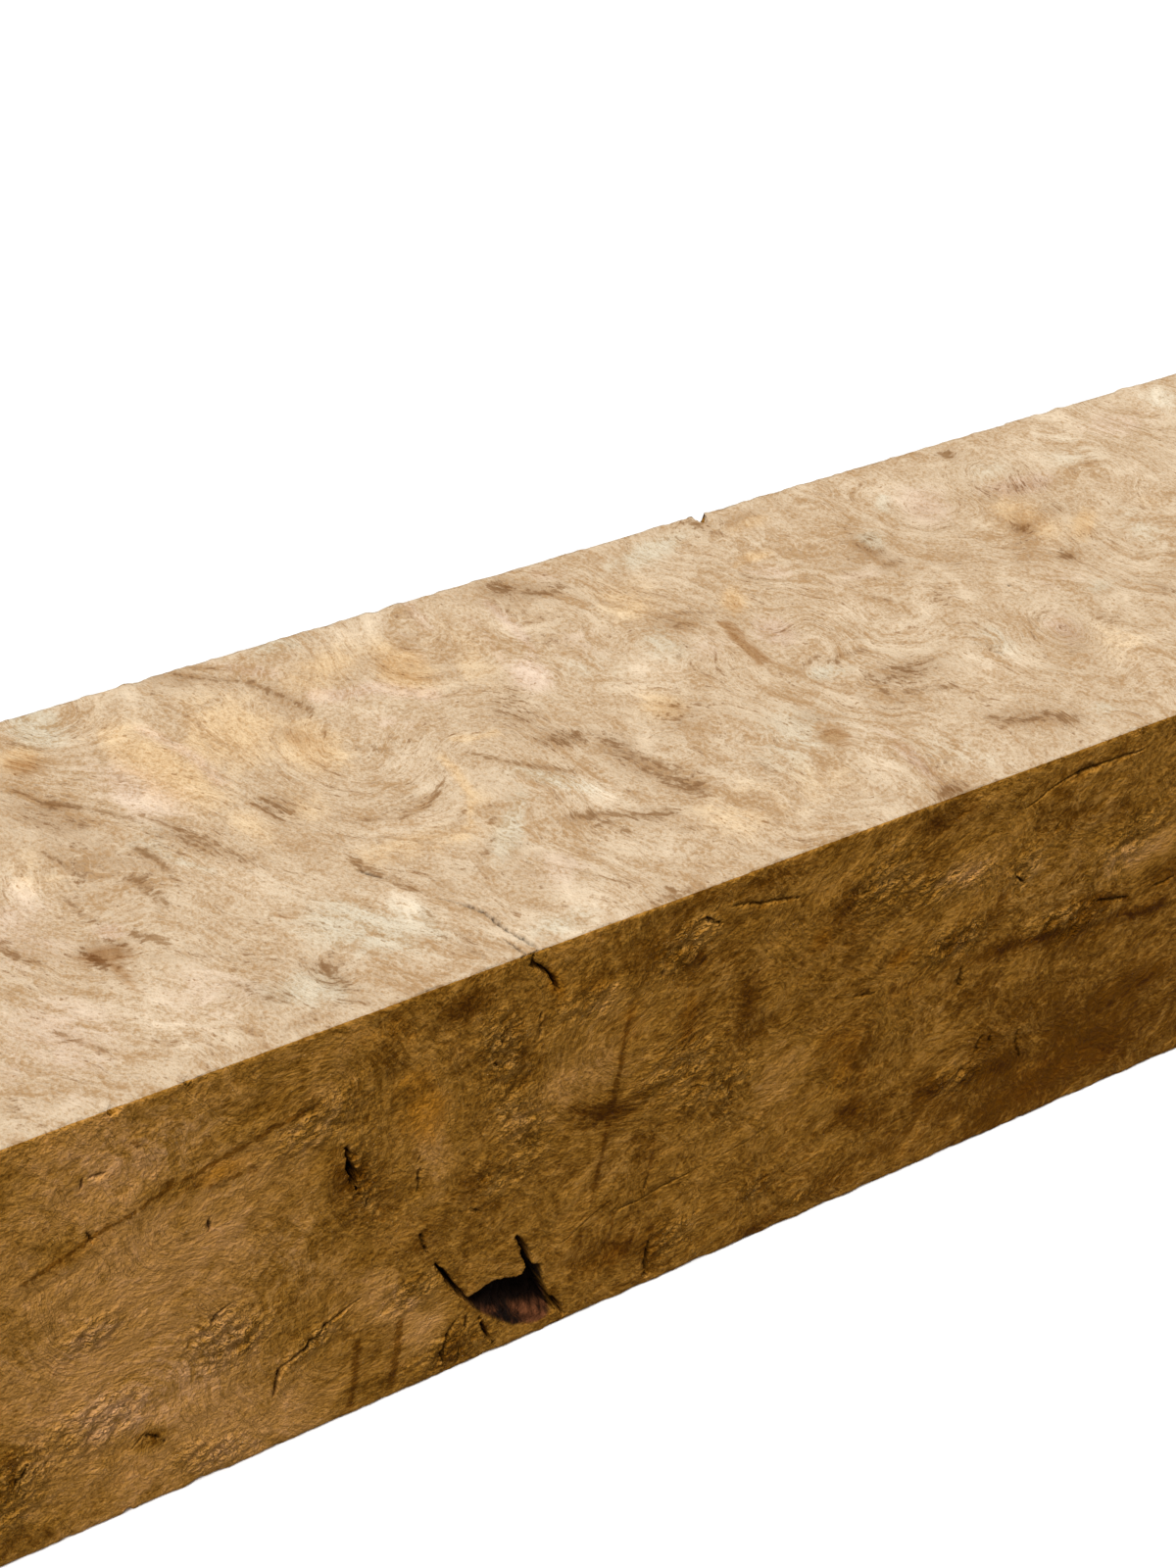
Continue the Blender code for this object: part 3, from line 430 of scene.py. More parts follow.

# Broad soft shades, partly the wood's own tone and partly painted light and shade: middle, half sizes, turn in
# degrees and strength, which is below 0 where darker
TOP_SHADES = (
    (-54.6, 9.0, 3.4, 2.4, -40, -0.9), (-54.0, 5.0, 1.8, 3.4, 10, -0.5), (-54.0, 14.6, 2.2, 1.8, 0, -0.5),
    (-57.2, -6.6, 2.4, 2.4, 0, -0.8), (-55.4, 1.0, 1.6, 4.0, 10, -0.5), (-51.2, 1.0, 2.0, 3.0, 20, -0.6),
    (-47.2, 2.6, 3.6, 1.6, -58, -0.7), (-61.6, -4.0, 2.0, 1.4, -30, -0.5), (-63.6, -10.0, 1.4, 2.4, 20, -0.4),
    (-38.4, 18.6, 3.6, 1.4, -36, -0.9), (-31.8, 12.4, 1.4, 3.4, 20, -0.5), (-33.2, 8.8, 1.4, 2.4, 20, -0.5),
    (-38.0, 1.6, 1.8, 2.2, 30, -0.8), (-35.4, -7.0, 1.6, 1.6, 0, -0.7), (-48.6, -14.6, 2.2, 2.0, 0, -0.7),
    (-43.4, -15.4, 1.6, 3.0, 14, -0.6), (-31.6, -11.0, 1.4, 2.2, 20, -0.5), (-24.6, -11.0, 2.6, 4.4, 0, -0.4),
    (-21.0, 12.0, 2.8, 1.6, -30, -0.6), (-15.4, 4.2, 2.4, 3.2, -30, -0.6), (-13.6, -0.4, 2.6, 1.4, -30, -0.9),
    (-10.0, -4.6, 1.6, 3.2, 12, -1.0), (-7.4, -9.6, 1.6, 1.8, 20, -0.8), (-17.4, -9.0, 2.2, 1.2, -10, -0.7),
    (-7.4, 17.2, 4.4, 2.0, -14, -1.0), (-3.4, -2.0, 2.0, 1.9, 0, -0.7), (4.4, 8.0, 4.2, 1.5, -8, -0.6),
    (6.8, -7.0, 3.2, 1.5, -8, -0.7), (25.6, 9.0, 2.2, 3.2, 10, -0.9), (22.0, 9.6, 2.2, 2.2, 0, -0.4),
    (18.0, -5.6, 4.0, 1.6, -6, -0.8), (15.0, -8.2, 3.4, 1.6, -20, -0.5), (10.6, 3.0, 1.6, 1.9, 0, -0.5),
    (24.2, -14.6, 3.8, 1.6, -20, -0.9), (12.0, -19.2, 2.2, 1.5, 0, -0.8), (12.0, -15.0, 1.4, 3.4, 4, -0.4),
    (33.0, 12.0, 1.6, 1.5, 0, -0.6), (34.6, -7.6, 2.2, 2.4, 0, -0.7), (32.0, -10.2, 3.4, 1.6, 10, -0.4),
    (40.4, 6.4, 2.0, 2.4, -10, -1.0), (37.8, 3.0, 1.8, 1.4, 30, -0.6), (42.0, 1.0, 1.6, 1.0, 0, -0.8),
    (45.2, 3.6, 2.8, 1.1, 38, -0.6), (44.6, 11.0, 4.8, 1.3, -5, -0.8), (41.4, 18.0, 1.2, 1.0, 0, -0.6),
    (47.0, -6.0, 1.5, 1.4, 0, -0.5), (41.0, -4.0, 1.6, 1.0, 0, -0.5), (16.4, 17.8, 4.0, 1.2, -4, -0.6),
    (30.6, 5.0, 2.0, 1.6, 0, -0.4), (-12.0, -11.6, 3.4, 1.4, -20, -0.5), (-50.4, -9.6, 3.0, 0.9, -20, -0.3),
    (-26.6, 19.0, 2.4, 1.0, 0, -0.4), (2.0, 5.0, 1.6, 1.8, 0, -0.3), (-16.0, -19.0, 2.8, 1.2, 0, -0.5),
    (-48.4, 7.4, 2.0, 3.4, 20, 0.4), (-60.0, 2.4, 2.4, 3.4, 0, 0.5), (-44.6, -4.0, 4.6, 2.2, -50, 0.6),
    (-54.0, -13.0, 6.0, 4.0, 0, 0.4), (-35.0, -11.0, 2.4, 2.6, 20, 0.6), (-30.8, -3.8, 3.8, 1.2, -8, 0.6),
    (-24.0, 18.4, 4.0, 1.8, 0, 0.5), (-26.6, 7.6, 3.4, 2.0, 0, 0.4), (-25.6, 0.6, 3.4, 3.4, 0, 0.4),
    (-15.2, -6.8, 3.4, 1.6, -45, 0.7), (-11.8, 7.6, 1.6, 2.0, 0, 0.7), (-2.0, 3.2, 3.4, 2.6, 0, 0.6),
    (-22.0, -17.4, 4.0, 2.2, 0, 0.7), (9.4, -14.0, 2.2, 4.4, 0, 0.4), (21.6, -1.6, 2.6, 1.6, 0, 0.4),
    (25.0, -8.2, 3.0, 2.4, 0, 0.6), (38.4, -12.4, 3.0, 4.0, 0, 0.5), (16.4, 3.0, 3.4, 2.2, 0, 0.4),
    (30.0, 17.0, 5.0, 3.0, 0, 0.3), (52.0, 17.0, 8.0, 4.0, 0, 0.4), (66.0, 17.0, 3.6, 3.0, 0, 0.6),
    (55.0, 7.0, 4.0, 6.0, 0, 0.3), (-38.6, 13.6, 4.0, 2.0, -20, 0.3), (-46.0, 15.0, 2.2, 3.4, 0, 0.4),
    (17.0, -16.8, 3.4, 2.4, 0, 0.4), (-6.4, -14.6, 4.4, 2.2, 0, 0.3),
)
FRONT_SHADES = (
    # The dark shade at (-58.6, 9.0) is the same painted shadow in the torn wedge
    (-58.6, 9.0, 2.2, 1.8, -40, -0.9), (-71.0, 12.0, 1.6, 4.0, 0, -0.7), (-70.0, 2.6, 3.4, 1.5, 0, -0.7),
    (-43.4, 32.4, 1.5, 3.2, 12, -0.9), (-40.4, 28.0, 2.2, 5.4, 10, -0.5), (-47.8, 20.0, 1.2, 4.0, 14, -0.3),
    (-34.4, 46.5, 2.2, 1.7, 0, -1.1), (-40.4, 44.4, 1.6, 3.6, 16, -0.4), (-17.4, 45.0, 2.4, 2.0, 0, -0.7),
    (-12.3, 41.4, 1.8, 1.6, 0, -0.8), (-8.4, 41.0, 1.8, 1.6, 0, -0.5), (-13.0, 48.6, 2.2, 1.2, 0, -0.7),
    (-6.4, 48.0, 3.4, 1.3, 0, -0.6), (-5.8, 34.4, 1.2, 3.4, 6, -0.9), (-11.4, 34.0, 1.3, 3.4, 8, -0.6),
    (-4.0, 30.0, 2.0, 1.8, 0, -0.7), (-19.4, 27.4, 3.2, 1.5, -26, -0.8), (-31.2, 24.6, 1.4, 2.4, 20, -0.7),
    (-15.4, 7.6, 4.6, 2.4, -18, -0.7), (-10.0, 4.0, 1.3, 2.8, 0, -0.7), (2.6, 40.6, 1.6, 3.8, 12, -0.8),
    (5.0, 36.0, 1.8, 3.2, 0, -0.5), (12.0, 47.6, 3.2, 2.2, -10, -0.8), (11.0, 41.0, 1.8, 2.8, 0, -0.4),
    (24.8, 45.2, 2.0, 2.6, -30, -0.5), (28.6, 47.6, 5.0, 0.9, 0, -0.5), (27.0, 41.2, 3.0, 1.8, 0, -0.5),
    (33.0, 40.0, 2.0, 2.0, 0, -0.4), (21.2, 33.2, 1.2, 2.2, 0, -0.7), (11.0, 32.0, 2.2, 1.5, 0, -0.5),
    (17.2, 30.8, 2.0, 1.5, 0, -0.5), (22.2, 27.4, 3.4, 1.3, -4, -0.9), (28.4, 26.4, 3.4, 1.2, -8, -0.9),
    (33.6, 28.0, 3.0, 2.0, 0, -1.0), (33.0, 24.4, 2.0, 2.0, 0, -0.6), (37.6, 25.0, 2.2, 1.0, 0, -1.0),
    (41.6, 24.4, 2.2, 1.2, 0, -1.0), (43.4, 28.0, 2.2, 2.0, 0, -0.8), (22.0, 22.8, 3.0, 2.0, -30, -0.5),
    (9.0, 21.4, 1.6, 4.4, 8, -0.6), (5.0, 24.0, 2.0, 3.0, 0, -0.4), (10.0, 13.0, 2.2, 1.5, -42, -1.2),
    (13.0, 10.0, 2.2, 1.4, -30, -0.7), (19.0, 10.6, 1.8, 2.2, 20, -0.9), (24.6, 14.4, 1.8, 1.5, 0, -0.8),
    (27.6, 10.0, 3.6, 1.7, -14, -1.0), (35.0, 11.0, 2.2, 3.4, 0, -0.5), (43.0, 13.6, 5.0, 2.0, 6, -1.1),
    (40.6, 7.4, 3.2, 2.4, 0, -1.1), (43.4, 4.6, 3.0, 2.0, 0, -0.6), (34.0, 4.0, 4.0, 3.0, 0, -0.8),
    (28.0, 3.0, 3.0, 3.0, 0, -0.5), (16.0, 5.0, 2.6, 1.6, 0, -0.6), (22.0, 7.0, 2.4, 2.0, 0, -0.5),
    (10.0, 3.0, 2.6, 1.8, 0, -0.6), (1.2, 7.0, 1.8, 2.2, 0, -0.4), (2.0, 1.2, 2.6, 1.1, 0, -0.8),
    (-5.8, 20.6, 0.9, 2.4, 0, -0.4), (-13.0, 19.0, 2.0, 2.8, 0, -0.4), (-35.0, 20.0, 1.3, 2.4, 10, -0.6),
    (-30.6, 3.4, 1.4, 3.4, 0, -0.5), (-28.0, 38.0, 1.2, 5.0, 14, -0.4), (30.0, 17.6, 4.0, 2.4, 0, -0.4),
    (-50.4, 42.6, 2.6, 1.6, 0, -0.3), (-58.4, 38.6, 2.0, 1.6, 0, -0.4), (-66.8, 36.6, 1.6, 2.0, 0, -0.4),
    # The broad darkening of the front towards the lower right, below, is painted shade
    (40.0, 8.0, 24.0, 15.0, 0, -0.5),
    (-57.0, 12.0, 13.0, 3.2, -42, 0.9), (-37.6, 13.0, 8.0, 2.4, -54, 0.8), (-33.0, 7.4, 1.6, 2.4, 0, 0.8),
    (-60.6, 31.0, 4.0, 5.4, 0, 0.5), (-53.6, 30.4, 2.4, 3.6, 0, 0.5), (-64.6, 46.0, 3.0, 3.4, 0, 0.4),
    (-35.4, 31.4, 1.8, 6.4, 6, 0.6), (-21.0, 33.6, 5.0, 5.0, 0, 0.5), (-20.4, 41.4, 1.6, 2.4, 0, 0.4),
    (-45.0, 43.6, 2.4, 2.0, 0, 0.3), (0.0, 22.0, 3.0, 4.4, 0, 0.5), (-48.0, 36.4, 3.0, 2.0, 0, 0.3),
    (15.2, 40.0, 3.4, 1.8, 0, 0.8), (37.6, 33.0, 4.0, 3.0, 0, 0.8), (27.4, 37.8, 5.0, 2.2, 0, 0.3),
    # The broad lighter patch over the front's left at (-62, 24) is painted light
    (-62.0, 24.0, 16.0, 30.0, 0, 0.7), (-50.0, 4.0, 8.0, 4.0, 0, 0.6), (6.4, 45.0, 2.4, 2.4, 0, 0.3),
    (21.6, 13.4, 1.4, 1.4, 0, 0.6), (-7.0, 17.0, 6.0, 3.0, 0, 0.2), (32.4, 9.4, 1.4, 2.0, 0, 0.5),
    (12.0, 23.6, 1.4, 4.0, 20, 0.3), (-26.4, 31.0, 3.0, 4.0, 0, 0.3),
)

# Patches where the saw tore the front's fibres
TORN = (
    (-63.5, 14.0, 4.0, 3.6, 30, 0.9), (-52.0, 17.0, 3.4, 3.0, 0, 0.9), (-54.0, 19.5, 2.6, 2.0, 40, 0.8),
    (-46.4, 39.6, 3.6, 2.4, 30, 0.9), (-35.6, 13.6, 2.4, 2.4, -30, 0.9), (-53.0, 3.2, 3.6, 2.0, -20, 0.8),
    (-64.2, 25.4, 2.4, 1.8, 10, 1.0), (-44.4, 12.6, 2.6, 1.4, 40, 0.9), (-30.0, 40.0, 1.8, 4.6, 20, 1.0),
    (-27.4, 31.0, 2.0, 6.0, 24, 0.7), (-27.6, 24.4, 3.0, 3.0, 0, 0.6), (-22.2, 41.8, 3.2, 2.0, -10, 0.7),
    (-13.4, 44.2, 2.6, 2.6, 0, 1.0), (-11.6, 29.0, 4.0, 4.0, 20, 0.7), (-7.0, 24.6, 4.0, 2.0, 0, 0.8),
    (-5.6, 21.6, 1.0, 2.4, 0, 0.7), (6.4, 42.6, 3.4, 3.6, 0, 0.9), (14.0, 39.4, 5.4, 2.0, -8, 0.8),
    (17.0, 31.0, 3.2, 2.0, 10, 1.2), (23.0, 37.6, 2.0, 2.4, 0, 0.8), (30.0, 28.2, 3.6, 1.8, 0, 0.9),
    (22.6, 11.0, 3.4, 1.8, -10, 0.9), (33.0, 26.4, 3.0, 1.4, 0, 0.9), (-41.6, 31.0, 1.4, 5.4, 12, 0.7),
    (-70.0, 10.0, 2.6, 6.0, -10, 0.8), (-31.0, 3.2, 4.0, 2.4, 0, 0.7), (-8.4, 5.6, 2.4, 2.6, 0, 0.7),
    (36.0, 36.0, 3.0, 4.0, -40, 0.7), (0.6, 7.4, 1.6, 1.8, 0, 0.7), (6.4, 3.0, 2.0, 1.4, 0, 0.5),
)


def smooth(low, high, value):
    """A smooth rise from 0 at low to 1 at high."""
    share = np.clip((value - low) / (high - low), 0, 1)
    return share * share * (3 - 2 * share)


def along_route(points, route):
    """Each point's distance to a route, and how far along the route its nearest place lies."""
    route = np.array(route, float)
    lengths = np.linalg.norm(np.diff(route, axis=0), axis=1)
    reached = np.concatenate(([0], np.cumsum(lengths)))
    nearest = np.full(len(points), np.inf)
    share = np.zeros(len(points))
    for index, length in enumerate(lengths):
        start = route[index]
        step = route[index + 1] - start
        part = np.clip((points - start) @ step / length**2, 0, 1)
        gap = np.linalg.norm(points - start - part[:, None] * step, axis=1)
        closer = gap < nearest
        nearest[closer] = gap[closer]
        share[closer] = (reached[index] + part[closer] * length) / reached[-1]
    return nearest, share


def noise_at(points, scale, octaves=2):
    """Fractal noise at each point, about -1 to 1."""
    return np.array([noise.fractal(Vector(p) * scale, NOISE_FALL, NOISE_STEP, octaves) for p in points])


class Side:
    """One long side of the block, seen square on, with the tables that mark it.

    Start and turn shift and turn round the tables' places, so that a hidden side can share them.
    """

    def __init__(self, name, axis, plane, inward, cracks, start=(0, 0), turn=1):
        self.name = name
        self.axis = axis
        self.plane = plane
        self.inward = inward
        self.cracks = cracks
        self.start = start
        self.turn = turn
        self.shades, self.blots, self.strokes = SIDE_MARKS[axis]

    def on(self, places):
        return np.abs(places[:, self.axis] - self.plane) < ON_FACE

    def flat(self, places):
        """Places as two coordinates on this side."""
        return self.start + self.turn * places[:, (0, 3 - self.axis)]


# The tables of the front and back, then of the top and underside, by the axis that they face
SIDE_MARKS = {
    1: (FRONT_SHADES, FRONT_BLOTS, FRONT_STROKES),
    2: (TOP_SHADES, TOP_BLOTS, TOP_STROKES),
}
SIDES = (
    Side("front", 1, FRONT, 1, FRONT_CRACKS + FRONT_SLITS),
    Side("top", 2, TOP, -1, TOP_CRACKS),
    Side("back", 1, BACK, -1, FRONT_SLITS, start=(12, TOP), turn=-1),
    Side("underside", 2, FOOT, 1, (), start=(-8, 0), turn=-1),
)


def in_pocket(points):
    """How far inside the bark pocket's outline each point is, in millimetres, and below 0 outside."""
    outline = np.array(POCKET_OUTLINE, float)
    gap, _ = along_route(points, np.vstack([outline, outline[:1]]))
    inside = np.zeros(len(points), bool)
    for start, end in zip(outline, np.roll(outline, -1, axis=0)):
        crosses = (start[1] > points[:, 1]) != (end[1] > points[:, 1])
        rise = end[1] - start[1] if end[1] != start[1] else 1e-9
        meets = start[0] + (points[:, 1] - start[1]) * (end[0] - start[0]) / rise
        inside ^= crosses & (points[:, 0] < meets)
    return np.where(inside, gap, -gap)


def edge_gap(places, first, second):
    """Distance to the block's edge where two of its faces meet."""
    return np.hypot(places[:, first[0]] - first[1], places[:, second[0]] - second[1])


def block_edges():
    """The block's twelve edges, each as the two faces that meet there: a face is its axis and plane."""
    planes = {0: (LEFT, RIGHT), 1: (FRONT, BACK), 2: (FOOT, TOP)}
    for first, second in ((1, 2), (0, 1), (0, 2)):
        for a in planes[first]:
            for b in planes[second]:
                yield (first, a), (second, b)


def oval(flat, x, h, along, across, turn):
    """Each point's distance from an oval's middle, which is 1 on its outline."""
    cos = math.cos(math.radians(turn))
    sin = math.sin(math.radians(turn))
    gap = flat - (x, h)
    return np.hypot((gap[:, 0] * cos + gap[:, 1] * sin) / along, (gap[:, 1] * cos - gap[:, 0] * sin) / across)


def blot_strength(flat, blots):
    """How strongly the oval patches mark each point."""
    total = np.zeros(len(flat))
    for *place, strength in blots:
        total = np.maximum(total, strength * np.exp(-(oval(flat, *place) ** 2.8)))
    return total


def shade_strength(flat, shades):
    """The sum of the broad shades at each point."""
    return sum(strength * np.exp(-(oval(flat, *place) ** 2)) for *place, strength in shades)


def stroke_strength(flat, strokes):
    """How strongly the strokes mark each point: they fade to their sides and at their ends."""
    total = np.zeros(len(flat))
    for width, strength, route in strokes:
        gap, share = along_route(flat, route)
        ends = smooth(0, STROKE_FADE, share) * smooth(0, STROKE_FADE, 1 - share)
        total = np.maximum(total, strength * ends * np.exp(-((gap / width * 1.5) ** 2)))
    return total


def refine(cell, near, size):
    """Asks for cells no larger than size at the places that are near."""
    cell[near] = np.minimum(cell[near], size)


def refine_routes(cell, flat, routes, band, size):
    """Asks for fine cells along cracks or strokes."""
    for width, _, route in routes:
        gap, _ = along_route(flat, route)
        refine(cell, gap < width / 2 + band, size)


def side_cell(side, flat):
    """The size of cell that one side's own marks need at each place."""
    cell = np.full(len(flat), BASE_CELL)
    refine_routes(cell, flat, side.cracks, CRACK_BAND, CRACK_CELL)
    if side.name in ("front", "top"):
        refine_routes(cell, flat, side.strokes["dark"], STROKE_BAND, EDGE_CELL)
    if side.name == "front":
        refine(cell, blot_strength(flat, TORN) > 0.35, EDGE_CELL)
        refine(cell, in_pocket(flat) > -0.5, CRACK_CELL)
    return cell


def wanted_cell(places, normals):
    """The size of cell that the mesh needs at each place."""
    cell = np.full(len(places), BASE_CELL)
    refine(cell, (normals[:, 1] < -0.5) | (normals[:, 2] > 0.5), FACE_CELL)
    for first, second in block_edges():
        refine(cell, edge_gap(places, first, second) < EDGE_BAND, EDGE_CELL)
    for side in SIDES:
        here = np.flatnonzero(side.on(places))
        refine(cell, here, side_cell(side, side.flat(places[here])))
    for along, y, z, half in CHIPS:
        gap = (places - (along, y, z)) / (np.array(half) + CRACK_BAND)
        refine(cell, np.linalg.norm(gap, axis=1) < 1, CRACK_CELL)
    return cell


def block_grid():
    """The block as a grid of fine triangles, finest at its edges, cracks and pocket."""
    shape = bmesh.new()
    bmesh.ops.create_cube(shape, size=1)
    bmesh.ops.scale(shape, vec=Vector(HIGH - LOW), verts=shape.verts)
    bmesh.ops.translate(shape, vec=Vector(MIDDLE), verts=shape.verts)
    for axis, length in enumerate(HIGH - LOW):
        cuts = round(length / BASE_CELL) - 1
        lines = [e for e in shape.edges if abs(e.verts[0].co[axis] - e.verts[1].co[axis]) > 1]
        bmesh.ops.subdivide_edges(shape, edges=lines, cuts=cuts, use_grid_fill=True)
    for _ in range(HALVINGS):
        shape.faces.ensure_lookup_table()
        middles = np.array([f.calc_center_median() for f in shape.faces])
        normals = np.array([f.normal for f in shape.faces])
        split = set()
        for face, cell in zip(shape.faces, wanted_cell(middles, normals)):
            if math.sqrt(face.calc_area()) > CELL_SLACK * cell:
                split.update(face.edges)
        bmesh.ops.subdivide_edges(shape, edges=list(split), cuts=1, use_grid_fill=True)
    bmesh.ops.triangulate(shape, faces=shape.faces)
    return shape


def crack_depth(flat, places, cracks):
    """How deep the cracks cut at each point of a side. Their sides wander and their width varies."""
    depth = np.zeros(len(flat))
    for width, deepest, route in cracks:
        gap, share = along_route(flat, route)
        near = np.flatnonzero(gap < width + 0.5)
        if not len(near):
            continue
        wander = 0.25 * width * noise_at(places[near], 1.4)
        ragged = np.clip(1.0 + 0.8 * noise_at(places[near] + 60, 0.45), 0.35, 1.4)
        taper = CRACK_END + (1 - CRACK_END) * np.sin(math.pi * share[near])
        half = width / 2 * taper * ragged
        inside = np.clip(1 - ((gap[near] + wander) / half) ** 2, 0, 1)
        depth[near] = np.maximum(depth[near], deepest * np.sqrt(inside))
    return depth


def pocket_depth(flat, places):
    """The pocket's depth: a floor that slopes inwards under a steep, rough upper lip."""
    start, end = np.array(POCKET_FLOOR)
    gap = in_pocket(flat)
    near = gap > -0.6
    rough = np.zeros(len(flat))
    rough[near] = noise_at(places[near], 1.1, 3)
    level = start[1] + (flat[:, 0] - start[0]) * (end[1] - start[1]) / (end[0] - start[0])
    floor = POCKET_SLOPE * (flat[:, 1] - level) + 0.9 * rough
    wall = smooth(-0.15, POCKET_WALL, gap + 0.25 * rough)
    return np.clip(floor, 0.25, POCKET_DEPTH) * wall


def ridge_height(flat, ridges):
    """Lifted fibres: a low rounded ridge along each route."""
    height = np.zeros(len(flat))
    for width, rise, route in ridges:
        gap, share = along_route(flat, route)
        ridge = 0.7 * rise * np.sin(math.pi * share) * np.exp(-((gap / width * 2) ** 2))
        height = np.maximum(height, ridge)
    return height


def edge_wear(places, wear):
    """How far the sawn edges are worn back at each vertex, along each axis, more so at small nicks."""
    worn = np.zeros_like(places)
    for first, second in block_edges():
        gap = edge_gap(places, first, second)
        near = np.flatnonzero(gap < WEAR_BAND)
        ragged = noise_at(places[near], 0.6)
        nick = smooth(0.35, 0.9, noise_at(places[near] + 90, 0.4))
        reach = 0.5 + 0.5 * nick
        size = wear * np.clip(0.5 + 0.4 * ragged + 1.1 * nick, 0.1, None)
        fall = size * np.clip(1 - gap[near] / reach, 0, 1) ** 2
        for axis, plane in (first, second):
            inward = -1 if plane > MIDDLE[axis] else 1
            at = np.abs(places[near, axis] - plane) < ON_FACE
            worn[near[at], axis] = inward * np.maximum(np.abs(worn[near[at], axis]), fall[at])
    return worn


def chip_in(places, moved):
    """Pushes what lies inside a chip out to the chip's surface, away from its edge."""
    for along, y, z, half in CHIPS:
        centre = np.array((along, y, z))
        gap = (moved - centre) / half
        far = np.linalg.norm(gap, axis=1)
        inward = np.sign(MIDDLE - centre)
        for index in np.flatnonzero(far < 1):
            flat = gap[index].copy()
            on_y = abs(places[index, 1] - y) < ON_FACE
            on_z = abs(places[index, 2] - z) < ON_FACE
            room = math.sqrt(1 - far[index] ** 2)
            if on_z:
                flat[2] += inward[2] * room * (0.7 if on_y else 1)
            if on_y:
                flat[1] += inward[1] * room * (0.7 if on_z else 1)
            moved[index] = centre + flat * half
    return np.clip(moved, LOW, HIGH)


def carve(places, sizes):
    """Moves the grid's vertices from the plain block to the worn, cracked and torn one."""
    relief = sizes.relief / MM
    moved = places.copy()
    worn = edge_wear(places, sizes.edge_wear / MM)
    for side in SIDES:
        here = np.flatnonzero(side.on(places))
        flat = side.flat(places[here])
        depth = crack_depth(flat, places[here], side.cracks)
        if side.name in ("front", "back"):
            depth += relief * (0.35 + 0.45 * noise_at(places[here], 0.35, 3))
            depth += 1.8 * relief * blot_strength(flat, TORN) * noise_at(places[here] + 20, 0.9)
            depth -= ridge_height(flat, RAISED)
        elif side.name == "top":
            depth += 0.25 * relief * (0.5 + 0.5 * noise_at(places[here], 0.3, 3))
        if side.name == "front":
            pocket = pocket_depth(flat, places[here])
            depth = np.maximum(depth, pocket)
            moved[here, 2] += POCKET_RISE * pocket
        moved[here, side.axis] += side.inward * depth
    for plane, inward in ((LEFT, 1), (RIGHT, -1)):
        here = np.flatnonzero(np.abs(places[:, 0] - plane) < ON_FACE)
        moved[here, 0] += inward * 0.5 * relief * (0.5 + 0.5 * noise_at(places[here], 0.5, 3))
    return chip_in(places, moved + worn)


def grain_flow(places):
    """A height whose contours are the lines of the grain, in millimetres."""
    flow = places @ np.array(GRAIN)
    for centre, reach, strength in SWIRLS:
        gap = np.linalg.norm(places - centre, axis=1)
        flow += strength * np.exp(-((gap / reach) ** 2) / 2)
    restless = smooth(-26, 4, places[:, 0])
    flow += (3.0 + 3.0 * restless) * noise_at(places, 0.07)
    flow += (0.4 + 1.2 * restless) * noise_at(places + 40, 0.2)
    return flow


def side_marks(side, flat, places):
    """Strength of each tint at places on one side."""
    found = {}
    for name in (*TONES, "rust"):
        blots = blot_strength(flat, side.blots.get(name, ()))
        found[name] = np.maximum(blots, stroke_strength(flat, side.strokes.get(name, ())))
    # Painted shade: the cracks turn near black where they are deeper than about 0.1 to 0.45 mm
    found["crack"] = smooth(0.1, 0.45, crack_depth(flat, places, side.cracks))
    if side.name in ("front", "back"):
        found["torn"] = blot_strength(flat, TORN)
    if side.name == "front":
        inside = smooth(-0.15, 0.15, in_pocket(flat))
        # Painted shadow under the pocket's lip, from POCKET_DARK upwards and deeper in
        under_lip = pocket_depth(flat, places) + 0.3 * (flat[:, 1] - POCKET_DARK)
        found["bark"] = inside
        found["crack"] = np.maximum(found["crack"], inside * smooth(0.5, 1.1, under_lip))
    return found


def marks(places):
    """Strength of each tint at every vertex, from the tables for the sides it lies on."""
    found = {name: np.zeros(len(places)) for name in (*TONES, *HARM, "shade")}
    for side in SIDES:
        here = np.flatnonzero(side.on(places))
        flat = side.flat(places[here])
        for name, values in side_marks(side, flat, places[here]).items():
            found[name][here] = np.maximum(found[name][here], values)
        found["shade"][here] += shade_strength(flat, side.shades)
    return found


def write_marks(mesh, places):
    """Stores the grain and the tints on the mesh for the material to read."""
    found = marks(places)
    for name, values in (("flow", grain_flow(places)), ("shade", found["shade"])):
        stored = mesh.attributes.new(name, "FLOAT", "POINT")
        stored.data.foreach_set("value", values.astype(np.float32))
    for name, parts in (("tones", TONES), ("harm", HARM)):
        stored = mesh.attributes.new(name, "FLOAT_COLOR", "POINT")
        values = np.stack([found[part] for part in parts], axis=1)
        stored.data.foreach_set("color", values.astype(np.float32).ravel())


class Value:
    """One shader socket. Arithmetic on it adds Math nodes to its board."""

    def __init__(self, board, socket):
        self.board = board
        self.socket = socket

    def __add__(self, other):
        return self.board.math("ADD", self, other)

    __radd__ = __add__

    def __sub__(self, other):
        return self.board.math("SUBTRACT", self, other)

    def __rsub__(self, other):
        return self.board.math("SUBTRACT", other, self)

    def __mul__(self, other):
        return self.board.math("MULTIPLY", self, other)

    __rmul__ = __mul__

    def under(self, other):
        """The smaller of the two."""
        return self.board.math("MINIMUM", self, other)

    def step(self, low, high):
        """A smooth rise from 0 at low to 1 at high."""
        settings = {"interpolation_type": "SMOOTHSTEP"}
        return self.board.node("ShaderNodeMapRange", settings, {0: self, 1: low, 2: high})


